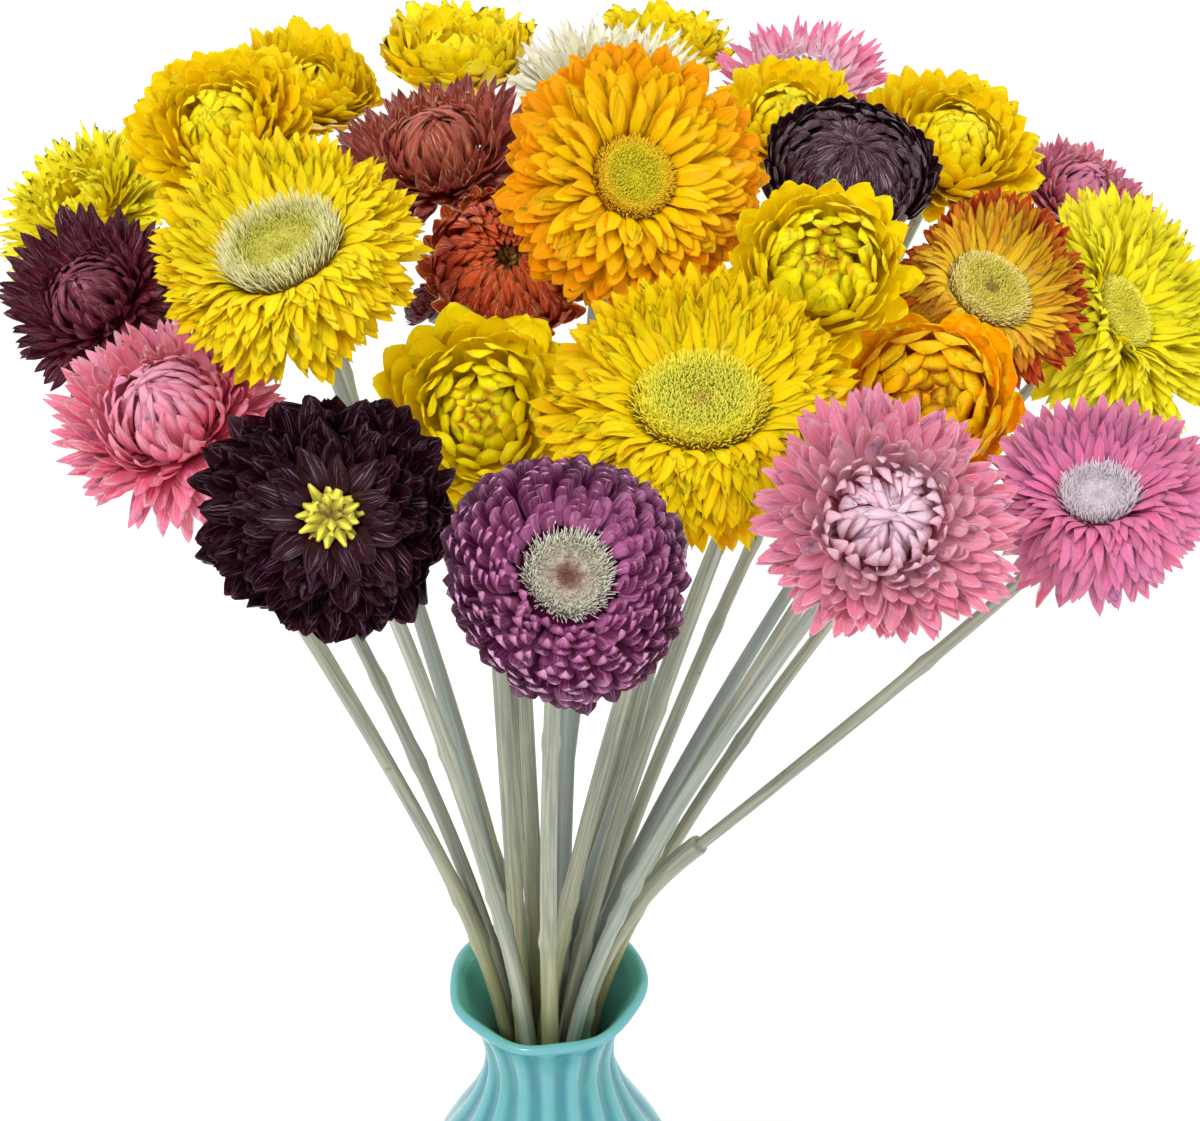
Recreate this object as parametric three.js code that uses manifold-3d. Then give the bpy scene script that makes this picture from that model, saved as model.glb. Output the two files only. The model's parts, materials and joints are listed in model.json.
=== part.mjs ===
// A bouquet of dried paper daisies standing in a fluted vase.
// Millimetres, +Z up. The origin is the centre of the vase's foot, on the surface it stands on.
import * as THREE from "three";
import { mergeVertices } from "three/addons/utils/BufferGeometryUtils.js";
import Module from "manifold-3d";

const wasm = await Module();
wasm.setup();

// Driving dimensions of the vase.
const VASE_HEIGHT = 155;
const FOOT_RADIUS = 26;
const BELLY_RADIUS = 43;
const NECK_RADIUS = 17.5;
const NECK_HEIGHT = 131;
const RIM_RADIUS = 26;
const WALL = 4;
const HOLLOW_RADIUS = 34;
const FLOOR = 6;
const VASE_OUTSIDE = [
  [FOOT_RADIUS + 2, 2],
  [34, 16],
  [40, 36],
  [BELLY_RADIUS, 58],
  [38, 78],
  [30, 95],
  [22.5, 109],
  [18.4, 121],
  [NECK_RADIUS, NECK_HEIGHT],
  [20, 143],
  [24.5, 151],
];
const VASE_LIP = [
  [RIM_RADIUS, VASE_HEIGHT - 1],
  [RIM_RADIUS - 2, VASE_HEIGHT],
];
const VASE_INSIDE = [
  [20.5, 149],
  [NECK_RADIUS - WALL, NECK_HEIGHT],
  [17.5, 112],
  [HOLLOW_RADIUS, 72],
  [HOLLOW_RADIUS, 44],
  [FOOT_RADIUS, FLOOR],
];
const FLUTES = 16;
const FLUTE_DEPTH = 1.1;
const SWIRL = 0.55;
const SWIRL_TOP = 118;
const SWIRL_BEND = 1.2;
const LIP_WAVES = 7;
const LIP_WAVE = 0.35;

// Driving dimensions of the stems and how the heads sit and bend.
const STEM_SIDES = 6;
const STEM_STEPS = 6;
const SHOOT_STEPS = 5;
const STEM_GAP = 0.4;
const STEM_THICK = [2.0, 2.5];
const STEM_TAPER = 0.6;
const SHOOT_RADIUS = 1.5;
const SEAT_GAP = 0.3;
const SEAT_DEPTH = 0.42;
const CLEAR = 0.8;
const BEND_REACH = 7;
const EVEN = 0.01;

// Driving dimensions of the bracts and the discs, as shares of a head's radius.
const CROWNS = 3;
const POINTED_BRACTS = 10;
const POINTED_COLUMNS = 2;
const BLUNT_BRACTS = 7;
const BLUNT_COLUMNS = 3;
const NOTCH = 0.58;
const LENGTH_CHANCE = 0.12;
const LIFT_CHANCE = 0.08;
const SHIFT_CHANCE = 0.5;
const DISC_COLUMNS = 12;
const DISC_SECTION = [
  [0, 0, 0],
  [0.86, 0, 0],
  [1, 0.12, 0],
  [0.8, 0.34, 0.07],
  [0.45, 0.2, 0.05],
  [0, 0.16, 0],
];

// Colours of the flowers and the rest.
const YELLOW = 0xf0cc14;
const LEMON = 0xf2e03a;
const GOLD = 0xeeb010;
const AMBER = 0xf29a12;
const FLAME = 0xd8521c;
const ORANGE = 0xf08a14;
const RUST = 0xa83a1c;
const COPPER = 0x8c4030;
const BURGUNDY = 0x5a1626;
const BLACK = 0x2c0a14;
const MAGENTA = 0x7c2a5c;
const ROSE = 0xd8648c;
const SALMON = 0xe8788c;
const PINK = 0xe07896;
const MAUVE = 0xc06a86;
const CREAM = 0xece4c8;
const DISC_YELLOW = 0xc8c040;
const DISC_PALE = 0xd2d4b8;
const STEM_KHAKI = 0xa5a58c;
const GLAZE = 0x86c8c8;

// How the bracts of a head lie: the section of the head from the stem's seat, out and back along
// each of three crowns of bracts, to the top. Each point is [distance from the head's axis, height]
// in radii of the head, and the points of a crown also name it: 0 is the outermost.
const FORMS = {
  open: {
    flatness: 0.36,
    top: 0.02,
    section: [
      [0.15, -0.42], [0.42, -0.22], [1.0, -0.05, 0], [0.68, -0.03, 0], [0.4, -0.1], [0.88, 0.17, 1],
      [0.62, 0.11, 1], [0.44, -0.01], [0.64, 0.32, 2], [0.51, 0.2, 2], [0.41, 0.01],
    ],
  },
  wide: {
    flatness: 0.36,
    top: 0.02,
    section: [
      [0.15, -0.42], [0.42, -0.22], [1.0, -0.05, 0], [0.7, -0.03, 0], [0.44, -0.1], [0.92, 0.16, 1],
      [0.68, 0.11, 1], [0.53, -0.01], [0.74, 0.3, 2], [0.61, 0.2, 2], [0.51, 0.01],
    ],
  },
  incurved: {
    flatness: 0.44,
    top: 0.26,
    section: [
      [0.15, -0.42], [0.42, -0.22], [1.0, 0.0, 0], [0.68, -0.02, 0], [0.44, -0.06], [0.76, 0.12, 1],
      [0.78, 0.42, 1], [0.46, 0.12], [0.56, 0.38, 2], [0.22, 0.58, 2], [0.2, 0.24],
    ],
  },
  eyed: {
    flatness: 0.42,
    top: 0.06,
    section: [
      [0.15, -0.42], [0.42, -0.24], [1.0, 0.0, 0], [0.7, 0.0, 0], [0.46, -0.04], [0.78, 0.14, 1],
      [0.8, 0.4, 1], [0.44, 0.1], [0.57, 0.34, 2], [0.34, 0.49, 2], [0.25, 0.05],
    ],
  },
  globe: {
    flatness: 0.48,
    top: 0.4,
    section: [
      [0.15, -0.42], [0.42, -0.25], [0.82, -0.2, 0], [1.0, 0.0, 0], [0.5, -0.02], [0.87, 0.2, 1],
      [0.7, 0.53, 1], [0.44, 0.26], [0.58, 0.54, 2], [0.16, 0.69, 2], [0.14, 0.38],
    ],
  },
  cup: {
    flatness: 0.48,
    top: -0.06,
    section: [
      [0.15, -0.42], [0.3, -0.3], [0.68, -0.12, 0], [0.98, 0.28, 0], [0.36, -0.13], [0.6, 0.1, 1],
      [0.76, 0.55, 1], [0.28, -0.08], [0.41, 0.27, 2], [0.42, 0.63, 2], [0.16, -0.07],
    ],
  },
  bowl: {
    flatness: 0.4,
    top: 0.06,
    section: [
      [0.15, -0.42], [0.42, -0.25], [0.84, -0.19, 0], [1.0, 0.0, 0], [0.5, -0.05], [0.83, 0.1, 1],
      [0.88, 0.35, 1], [0.47, 0.05], [0.63, 0.23, 2], [0.52, 0.45, 2], [0.41, 0.05],
    ],
  },
};

// The heads: the centre of each, where its face looks (lean from upright, turn from the front
// towards +X, in degrees), its radius, form and colour, and the radius share of a disc that shows.
const HEADS = [
  { name: "yellow_far_left", at: [-108, 57, 344], lean: 35, turn: -33, radius: 21, form: "open",
    colour: LEMON },
  { name: "burgundy_left", at: [-91, 0, 343], lean: 45, turn: -8, radius: 19, form: "incurved",
    colour: BURGUNDY },
  { name: "golden_left", at: [-70, 43, 366], lean: 45, turn: -10, radius: 20, form: "incurved",
    colour: GOLD },
  { name: "golden_back_left", at: [-57, 86, 362], lean: 22, turn: 40, radius: 19, form: "cup",
    colour: GOLD },
  { name: "yellow_disc_left", at: [-46, -25, 362], lean: 39, turn: -6, radius: 24.5, form: "wide",
    colour: YELLOW, disc: 0.46, discColour: DISC_PALE },
  { name: "yellow_back", at: [-21, 90, 367], lean: 10, turn: -4, radius: 20.5, form: "cup", colour: YELLOW },
  { name: "cream_back", at: [16, 78, 366], lean: 24, turn: 7, radius: 23, form: "open", colour: CREAM },
  { name: "yellow_tip_back", at: [30, 119, 363], lean: 10, turn: 29, radius: 18, form: "cup",
    colour: YELLOW },
  { name: "pink_back", at: [62, 82, 365], lean: 30, turn: 5, radius: 20, form: "open", colour: PINK },
  { name: "bronze_left", at: [-21, 29, 365], lean: 21, turn: -16, radius: 21.5, form: "incurved",
    colour: COPPER },
  { name: "amber_disc_top", at: [20, -4, 370], lean: 57, turn: 13, radius: 24.5, form: "open",
    colour: AMBER, disc: 0.33, discColour: DISC_YELLOW },
  { name: "golden_behind", at: [56, 54, 365], lean: 30, turn: -3, radius: 17.5, form: "incurved",
    colour: GOLD },
  { name: "dark_dome", at: [66, 20, 363], lean: 27, turn: 0, radius: 20.5, form: "globe", colour: BLACK },
  { name: "golden_back_right", at: [96, 63, 356], lean: 31, turn: 18, radius: 22, form: "incurved",
    colour: GOLD },
  { name: "mauve_back_right", at: [135, 87, 337], lean: 29, turn: 38, radius: 18, form: "incurved",
    colour: MAUVE },
  { name: "rust_centre", at: [-5, -2, 351], lean: 50, turn: 5, radius: 19, form: "eyed",
    colour: RUST, disc: 0.18, discColour: DISC_YELLOW },
  { name: "yellow_bud_right", at: [56, -19, 356], lean: 47, turn: -1, radius: 18.5, form: "globe",
    colour: YELLOW, blunt: true },
  { name: "flame_disc_right", at: [93, -3, 346], lean: 50, turn: -2, radius: 19.5, form: "wide",
    colour: FLAME, disc: 0.46, discColour: DISC_YELLOW },
  { name: "lemon_far_right", at: [125, 10, 336], lean: 49, turn: 17, radius: 25, form: "open",
    colour: LEMON, disc: 0.32, discColour: DISC_YELLOW },
  { name: "pink_left", at: [-68, -39, 334], lean: 36, turn: -7, radius: 21, form: "incurved",
    colour: SALMON },
  { name: "black_front", at: [-32, -77, 334], lean: 61, turn: 2, radius: 21.5, form: "eyed",
    colour: BLACK, disc: 0.2, discColour: DISC_YELLOW, blunt: true },
  { name: "yellow_front_left", at: [-9, -32, 332], lean: 58, turn: 6, radius: 19.5, form: "incurved",
    colour: YELLOW, blunt: true },
  { name: "yellow_disc_centre", at: [32, -47, 341], lean: 42, turn: -2, radius: 26, form: "wide",
    colour: YELLOW, disc: 0.46, discColour: DISC_YELLOW },
  { name: "orange_front_right", at: [78, -27, 333], lean: 57, turn: -11, radius: 19, form: "globe",
    colour: ORANGE, blunt: true },
  { name: "magenta_front", at: [8, -88, 328], lean: 52, turn: 7, radius: 21, form: "bowl",
    colour: MAGENTA, disc: 0.34, discColour: DISC_PALE, blunt: true },
  { name: "pink_front_right", at: [63, -73, 331], lean: 55, turn: -4, radius: 21, form: "incurved",
    colour: PINK },
  { name: "rose_far_right", at: [107, -50, 323], lean: 48, turn: -13, radius: 19.5, form: "open",
    colour: ROSE, disc: 0.35, discColour: DISC_PALE },
  { name: "golden_inner", at: [40, 12, 332], lean: 30, turn: -3, radius: 14, form: "incurved",
    colour: GOLD },
  { name: "burgundy_bud", at: [-23, 2, 341], lean: 50, turn: -80, radius: 6, form: "globe",
    colour: BURGUNDY,
    bracts: 5 },
];

// Which head grows on a side shoot of another head's stem.
const SIDE_SHOOTS = {
  golden_back_left: "golden_left",
  yellow_tip_back: "cream_back",
  mauve_back_right: "golden_back_right",
  golden_behind: "pink_back",
  golden_inner: "yellow_bud_right",
  burgundy_left: "yellow_far_left",
  yellow_back: "bronze_left",
  burgundy_bud: "rust_centre",
};

// After how many of its carrier's steps a side shoot leaves it, and how far it turns straight towards
// its own head. The twig of the small bud leaves higher up.
const SHOOT_STEP = 0.5;
const SHOOT_SPREAD = 0.8;
const TWIG = "burgundy_bud";
const TWIG_STEP = 2;

// The branch at the right is cut off short here, and its thin shoot carries the head on.
const CUT_BRANCH = "rose_far_right";
const CUT_END = new THREE.Vector3(37, -17, 213);
const CUT_RADIUS = 2.5;

const bouquet = new THREE.Group();

// Repeatable random numbers from 0 to 1.
const LARGEST = 2147483647;
const SEED_STRIDE = 3571;
function seeded(seed) {
  let state = seed * SEED_STRIDE;
  return () => {
    state = (state * 16807) % LARGEST;
    return state / LARGEST;
  };
}

// A geometry's vertices moved by a rule, with shared vertices merged so that it is one closed surface.
function reshaped(geometry, rule) {
  geometry.deleteAttribute("normal");
  geometry.deleteAttribute("uv");
  const merged = mergeVertices(geometry, 1e-4);
  const position = merged.getAttribute("position");
  const point = new THREE.Vector3();
  for (let i = 0; i < position.count; i++) {
    point.fromBufferAttribute(position, i);
    const moved = rule(point.clone());
    position.setXYZ(i, moved.x, moved.y, moved.z);
  }
  return merged;
}

function solidOf(geometry) {
  return new wasm.Manifold(
    new wasm.Mesh({
      numProp: 3,
      vertProperties: Float32Array.from(geometry.getAttribute("position").array),
      triVerts: Uint32Array.from(geometry.index.array),
    }),
  );
}

// Solids fused to one body, without loose scraps and slivers.
function fused(solids) {
  const whole = wasm.Manifold.union(solids).simplify(EVEN);
  const bodies = whole.decompose();
  bodies.sort((a, b) => b.volume() - a.volume());
  return bodies[0];
}

function geometryOf(solid) {
  const mesh = solid.getMesh();
  const geometry = new THREE.BufferGeometry();
  geometry.setAttribute("position", new THREE.BufferAttribute(mesh.vertProperties, mesh.numProp));
  geometry.setIndex(new THREE.BufferAttribute(mesh.triVerts, 1));
  return geometry;
}

function addPiece(name, geometry, colour, roughness) {
  const material = new THREE.MeshStandardMaterial({ color: colour, roughness, metalness: 0 });
  const mesh = new THREE.Mesh(geometry, material);
  mesh.name = name;
  bouquet.add(mesh);
}

// The way a head faces, and the two directions across it.
function facing({ lean, turn }) {
  const down = THREE.MathUtils.degToRad(lean);
  const round = THREE.MathUtils.degToRad(turn);
  const out = Math.sin(down);
  const normal = new THREE.Vector3(out * Math.sin(round), -out * Math.cos(round), Math.cos(down));
  const across = new THREE.Vector3(0, 0, 1).cross(normal).normalize();
  return { across, up: normal.clone().cross(across), normal };
}

// How far a head reaches from its centre in one direction, as a flattened ball.
function reach(head, direction) {
  const along = facing(head).normal.dot(direction);
  const through = FORMS[head.form].flatness * along;
  return head.radius * Math.hypot(Math.sqrt(Math.max(0, 1 - along * along)), through);
}

// Directions spread evenly over a ball.
const SEARCH = 600;
const NARROWINGS = [0.15, 0.03, 0];
const GOLDEN_ANGLE = Math.PI * (3 - Math.sqrt(5));
const compass = Array.from({ length: SEARCH }, (_, i) => {
  const height = 1 - (2 * (i + 0.5)) / SEARCH;
  const around = i * GOLDEN_ANGLE;
  const wide = Math.sqrt(1 - height * height);
  return new THREE.Vector3(wide * Math.cos(around), wide * Math.sin(around), height);
});

// The plane that parts two neighbouring heads best, as a direction from the first and a distance along it.
function parting(head, other) {
  const from = new THREE.Vector3(...head.at);
  const between = new THREE.Vector3(...other.at).sub(from);
  let widest = { room: -Infinity };
  let tries = compass;
  for (const spread of NARROWINGS) {
    for (const direction of tries) {
      const room = direction.dot(between) - reach(head, direction) - reach(other, direction);
      if (room > widest.room) widest = { room, direction };
    }
    const centre = widest.direction;
    tries = compass.map((way) => centre.clone().addScaledVector(way, spread).normalize());
  }
  const { room, direction } = widest;
  return { direction, distance: direction.dot(from) + reach(head, direction) + room / 2 };
}

function neighboursOf(head) {
  const here = new THREE.Vector3(...head.at);
  return HEADS.filter((other) => {
    const apart = here.distanceTo(new THREE.Vector3(...other.at));
    return other !== head && apart < head.radius + other.radius + BEND_REACH;
  });
}

const partings = new Map(
  HEADS.map((head) => [head, neighboursOf(head).map((other) => parting(head, other))]),
);

// Bends a point of a head back before it reaches a plane that parts the head from a neighbour.
function bentClear(point, head) {
  const moved = point.clone();
  for (const { direction, distance } of partings.get(head)) {
    const room = distance - moved.dot(direction);
    if (room >= BEND_REACH) continue;
    const kept = CLEAR + (BEND_REACH - CLEAR) * Math.exp((room - BEND_REACH) / (BEND_REACH - CLEAR));
    moved.addScaledVector(direction, room - kept);
  }
  return moved;
}

// A closed surface turned about the Z axis. The rule gives each row and column its place as
// [distance from the axis, height, angle].
function turned(rows, columns, rule) {
  const lathe = new THREE.LatheGeometry(
    Array.from({ length: rows }, (_, row) => new THREE.Vector2(1, row)),
    columns,
  );
  const position = lathe.getAttribute("position");
  for (let i = 0; i < position.count; i++) {
    const [distance, height, angle] = rule(i % rows, Math.floor(i / rows) % columns);
    position.setXYZ(i, distance * Math.cos(angle), distance * Math.sin(angle), height);
  }
  return lathe;
}

// The place of a point that is given about the Z axis, once that is a head's axis.
function placeOn(head, point) {
  const { across, up, normal } = facing(head);
  const spot = new THREE.Vector3(...head.at).addScaledVector(across, point.x);
  return spot.addScaledVector(up, point.y).addScaledVector(normal, point.z);
}

// A head: bracts in three staggered crowns on one body. Between two bracts of a crown a column is
// drawn back as a notch. A pointed bract has one column at its tip, a blunt one has two.
function bloom(head) {
  const { section, top } = FORMS[head.form];
  const rows = [[0, -SEAT_DEPTH], ...section, [0, top]];
  const perBract = head.blunt ? BLUNT_COLUMNS : POINTED_COLUMNS;
  const columns = perBract * (head.bracts ?? (head.blunt ? BLUNT_BRACTS : POINTED_BRACTS));
  const chance = seeded(HEADS.indexOf(head) + 1);
  const spread = () => chance() - 0.5;
  const chances = Array.from({ length: CROWNS * columns }, () => [spread(), spread(), spread()]);
  const isRoot = ([, , crown]) => crown === undefined;
  const rootBefore = (row) => rows.slice(0, row).findLast(isRoot);
  const rootAfter = (row) => rows.slice(row).find(isRoot);
  const shape = turned(rows.length, columns, (row, column) => {
    const [distance, height, crown] = rows[row];
    const angle = (2 * Math.PI * column) / columns;
    if (isRoot(rows[row])) return [distance * head.radius, height * head.radius, angle];
    const [longer, lift, shift] = chances[crown * columns + column];
    const root = new THREE.Vector2(...rootBefore(row)).lerp(new THREE.Vector2(...rootAfter(row)), 0.5);
    const notched = (column + crown) % perBract === 0;
    const share = notched ? NOTCH : 1 + LENGTH_CHANCE * longer;
    const spot = root.lerp(new THREE.Vector2(distance, height), share).multiplyScalar(head.radius);
    if (!notched) spot.y += LIFT_CHANCE * lift * head.radius;
    return [spot.x, spot.y, angle + (SHIFT_CHANCE * shift * 2 * Math.PI) / columns];
  });
  return reshaped(shape, (point) => bentClear(placeOn(head, point), head));
}

// A disc of florets: a low cushion with a raised ring, beaded by every second column.
function disc(head) {
  const radius = head.disc * head.radius;
  const seat = FORMS[head.form].top * head.radius + SEAT_GAP;
  const shape = turned(DISC_SECTION.length, DISC_COLUMNS, (row, column) => {
    const [distance, height, bead] = DISC_SECTION[row];
    const raised = height + (column % 2 ? bead : -bead);
    return [distance * radius, seat + raised * radius, (2 * Math.PI * column) / DISC_COLUMNS];
  });
  return reshaped(shape, (point) => placeOn(head, point));
}

// Where the stems pass the neck: each on the side of its own head, spread until none touches another.
const NARROWED = 0.08;
const ROUNDS = 600;
const PULLED_ROUNDS = 400;
const PULL = 0.02;
function neckPlaces(stems) {
  const starts = stems.map(({ head: { at } }) => new THREE.Vector2(at[0], at[1]).multiplyScalar(NARROWED));
  const places = starts.map((start) => start.clone());
  for (let round = 0; round < ROUNDS; round++) {
    places.forEach((place, i) => place.lerp(starts[i], round < PULLED_ROUNDS ? PULL : 0));
    for (let i = 0; i < stems.length; i++) {
      for (let j = 0; j < i; j++) {
        const apart = places[i].clone().sub(places[j]);
        const short = stems[i].radius + stems[j].radius + STEM_GAP - apart.length();
        if (short <= 0) continue;
        apart.setLength(short / 2);
        places[i].add(apart);
        places[j].sub(apart);
      }
      places[i].clampLength(0, NECK_RADIUS - WALL - stems[i].radius - STEM_GAP);
    }
  }
  return places;
}

// Where the stem of a head ends, just under the middle of its back.
function seatOf(head) {
  const back = placeOn(head, new THREE.Vector3(0, 0, -SEAT_DEPTH * head.radius));
  return bentClear(back, head).addScaledVector(facing(head).normal, -SEAT_GAP);
}

const UPRIGHT = new THREE.Vector3(0, 0, 1);

// A round bar bent along a curve from its thick end to its thin end, with shorter steps at the thin end.
// With a foot given, it stands on the foot first and rises straight to the start of the curve.
const CROWDING = 1.4;
function shareOf(rest) {
  return 1 - Math.max(0, rest) ** CROWDING;
}

function bentBar(curve, thick, thin, steps, foot) {
  const below = foot ? 1 : 0;
  const bar = new THREE.CylinderGeometry(1, 1, 1, STEM_SIDES, steps + below);
  return reshaped(bar, (point) => {
    const step = Math.round((0.5 + point.y) * (steps + below)) - below;
    const along = shareOf(1 - Math.max(0, step) / steps);
    const run = step < 0 ? UPRIGHT : curve.getTangent(along);
    const side = new THREE.Vector3(1, 0, 0).addScaledVector(run, -run.x).normalize();
    const front = side.clone().cross(run);
    const radius = THREE.MathUtils.lerp(thick, thin, along);
    const middle = step < 0 ? foot.clone() : curve.getPoint(along);
    return middle.addScaledVector(side, point.x * radius).addScaledVector(front, point.z * radius);
  });
}

// A point on a bar's middle line, which runs straight from one step to the next, and the way it runs.
function onBar(curve, steps, step) {
  const below = Math.floor(step);
  const from = curve.getPoint(shareOf(1 - below / steps));
  const to = curve.getPoint(shareOf(1 - (below + 1) / steps));
  return { fork: from.clone().lerp(to, step - below), run: to.sub(from).normalize() };
}

// The free part of a stem: upright at the neck, arriving square under its head.
const RISE = 0.3;
const NOD = 0.2;
function freeCurve(start, rising, head) {
  const seat = seatOf(head);
  const length = start.distanceTo(seat);
  return new THREE.CubicBezierCurve3(
    start,
    start.clone().addScaledVector(rising, RISE * length),
    seat.clone().addScaledVector(facing(head).normal, -NOD * length),
    seat,
  );
}

const STEM_SPREAD = 0.25;
const BRANCH_STEPS = 4;
const BRANCH_FORK = 0.9;
function stem({ head, radius, place }) {
  const neck = new THREE.Vector3(place.x, place.y, NECK_HEIGHT);
  const foot = new THREE.Vector3(place.x, place.y, FLOOR + SEAT_GAP);
  const thin = radius * STEM_TAPER;
  const solids = [];
  const straight = seatOf(head).sub(neck).normalize();
  let curve = freeCurve(neck, UPRIGHT.clone().lerp(straight, STEM_SPREAD).normalize(), head);
  if (head.name === CUT_BRANCH) {
    const bend = neck.clone().addScaledVector(UPRIGHT, neck.distanceTo(CUT_END) / 2);
    const branch = new THREE.QuadraticBezierCurve3(neck, bend, CUT_END);
    solids.push(solidOf(bentBar(branch, radius, CUT_RADIUS, BRANCH_STEPS, foot)));
    curve = freeCurve(branch.getPoint(BRANCH_FORK), branch.getTangent(1), head);
    solids.push(solidOf(bentBar(curve, SHOOT_RADIUS, SHOOT_RADIUS, SHOOT_STEPS)));
  } else {
    solids.push(solidOf(bentBar(curve, radius, thin, STEM_STEPS, foot)));
  }
  for (const [shootHead, carrier] of Object.entries(SIDE_SHOOTS)) {
    if (carrier !== head.name) continue;
    const tipHead = HEADS.find(({ name }) => name === shootHead);
    const { fork, run } = onBar(curve, STEM_STEPS, shootHead === TWIG ? TWIG_STEP : SHOOT_STEP);
    const aim = seatOf(tipHead).sub(fork).normalize();
    const side = freeCurve(fork, run.lerp(aim, SHOOT_SPREAD).normalize(), tipHead);
    solids.push(solidOf(bentBar(side, SHOOT_RADIUS, SHOOT_RADIUS, SHOOT_STEPS)));
  }
  return geometryOf(fused(solids));
}

// The vase: one turned wall, with flutes that run down the neck and swirl over the belly.
function vase() {
  const rows = [[0, 0], [FOOT_RADIUS, 0], ...VASE_OUTSIDE, ...VASE_LIP, ...VASE_INSIDE, [0, FLOOR]];
  const columns = 2 * FLUTES;
  const shape = turned(rows.length, columns, (row, column) => {
    const [radius, height] = rows[row];
    const round = (2 * Math.PI * column) / columns;
    const fluted = VASE_OUTSIDE.includes(rows[row]) && column % 2;
    const wave = VASE_LIP.includes(rows[row]) ? LIP_WAVE * Math.cos(LIP_WAVES * round) : 0;
    const below = Math.max(0, (SWIRL_TOP - height) / SWIRL_TOP);
    return [radius + wave - (fluted ? FLUTE_DEPTH : 0), height, round - SWIRL * below ** SWIRL_BEND];
  });
  return reshaped(shape, (point) => point);
}

const GLOSSY = 0.15;
const SATIN = 0.6;
const DULL = 0.85;
addPiece("vase", vase(), GLAZE, GLOSSY);

const thickness = seeded(FLUTES);
const stems = HEADS.filter(({ name }) => !(name in SIDE_SHOOTS)).map((head) => ({
  head,
  radius: THREE.MathUtils.lerp(...STEM_THICK, thickness()),
}));
const places = neckPlaces(stems);
stems.forEach((each, i) => {
  addPiece("stem_" + each.head.name, stem({ ...each, place: places[i] }), STEM_KHAKI, DULL);
});

for (const head of HEADS) {
  addPiece(head.name, bloom(head), head.colour, SATIN);
  if (head.disc) addPiece(head.name + "_disc", disc(head), head.discColour, DULL);
}

export default bouquet;
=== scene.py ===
import json
import math

import bpy
import numpy as np
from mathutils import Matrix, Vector

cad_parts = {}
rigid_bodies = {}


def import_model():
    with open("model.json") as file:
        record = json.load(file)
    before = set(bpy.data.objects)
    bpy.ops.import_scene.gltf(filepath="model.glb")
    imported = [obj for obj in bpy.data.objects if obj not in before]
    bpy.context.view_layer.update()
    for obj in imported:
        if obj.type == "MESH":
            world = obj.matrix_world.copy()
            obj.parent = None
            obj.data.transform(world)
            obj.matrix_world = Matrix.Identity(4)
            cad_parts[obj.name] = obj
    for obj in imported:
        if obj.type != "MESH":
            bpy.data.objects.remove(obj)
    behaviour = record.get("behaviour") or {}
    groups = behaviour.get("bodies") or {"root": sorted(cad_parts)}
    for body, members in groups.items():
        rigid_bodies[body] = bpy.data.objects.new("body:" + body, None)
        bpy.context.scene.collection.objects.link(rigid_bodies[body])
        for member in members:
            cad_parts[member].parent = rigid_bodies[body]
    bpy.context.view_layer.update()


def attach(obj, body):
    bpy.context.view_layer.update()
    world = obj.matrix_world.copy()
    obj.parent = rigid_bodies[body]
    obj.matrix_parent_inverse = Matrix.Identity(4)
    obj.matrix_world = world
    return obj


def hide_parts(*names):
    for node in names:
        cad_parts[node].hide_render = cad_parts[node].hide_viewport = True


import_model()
scene = bpy.context.scene

# The vase: cast earthenware with a turquoise glaze. Its flutes start under the wavy lip, run
# straight down the narrow neck and swirl over the belly; the glaze is thin and pale on the
# ridges and pools darker in the furrows.
MM = 0.001
VASE_HEIGHT = 155
FOOT_RADIUS = 26
BELLY_RADIUS = 43
NECK_RADIUS = 17.5
NECK_HEIGHT = 131
RIM_RADIUS = 26
WALL = 4
HOLLOW_RADIUS = 34
FLOOR = 6
VASE_LINE = [
    (FOOT_RADIUS, 0), (FOOT_RADIUS + 2, 2), (34, 16), (40, 36), (BELLY_RADIUS, 58), (38, 78), (30, 95),
    (22.5, 109), (18.4, 121), (NECK_RADIUS, NECK_HEIGHT), (20, 143), (24.5, 151),
    (RIM_RADIUS, VASE_HEIGHT - 1.2), (RIM_RADIUS - 1.4, VASE_HEIGHT), (RIM_RADIUS - 3.2, VASE_HEIGHT - 1.6),
    (20.5, 149), (NECK_RADIUS - WALL, NECK_HEIGHT), (17.5, 112), (HOLLOW_RADIUS, 72), (HOLLOW_RADIUS, 44),
    (FOOT_RADIUS, FLOOR),
]
OUTSIDE_POINTS = 13
FLUTES = 16
FLUTE_DEPTH = 1.2
# The flutes set in over the first stretch, below the rim, and fade out over the other, above the foot.
FLUTES_BEGIN = (2, 8)
FLUTES_END = 6
SWIRL = 0.55
SWIRL_TOP = 118
SWIRL_BEND = 1.2
# The lip's waves die away over this stretch below the rim.
LIP_SPAN = (1, 7)
LIP_WAVES = 7
LIP_WAVE = 0.3
LIP_TURN = 1
VASE_COLUMNS = 256
STEPS_BETWEEN = 7


def smooth_line(points, steps):
    """Points on a smooth line through the given ones, and the share of the way that each lies along."""
    line = np.array([points[0], *points, points[-1]], float)
    spots = []
    for before, here, there, after in zip(line, line[1:], line[2:], line[3:]):
        for share in np.arange(steps) / steps:
            leave, arrive = (there - before) / 2, (after - here) / 2
            rest = 1 - share
            bend = leave * share * rest * rest - arrive * share * share * rest
            near, far = here * rest * rest * (1 + 2 * share), there * share * share * (3 - 2 * share)
            spots.append(near + far + bend)
    spots.append(line[-1])
    return np.array(spots)


def smooth_step(low, high, value):
    """0 up to a low value, 1 from a high one, and smooth between."""
    share = np.clip((value - low) / (high - low), 0, 1)
    return share * share * (3 - 2 * share)


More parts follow.
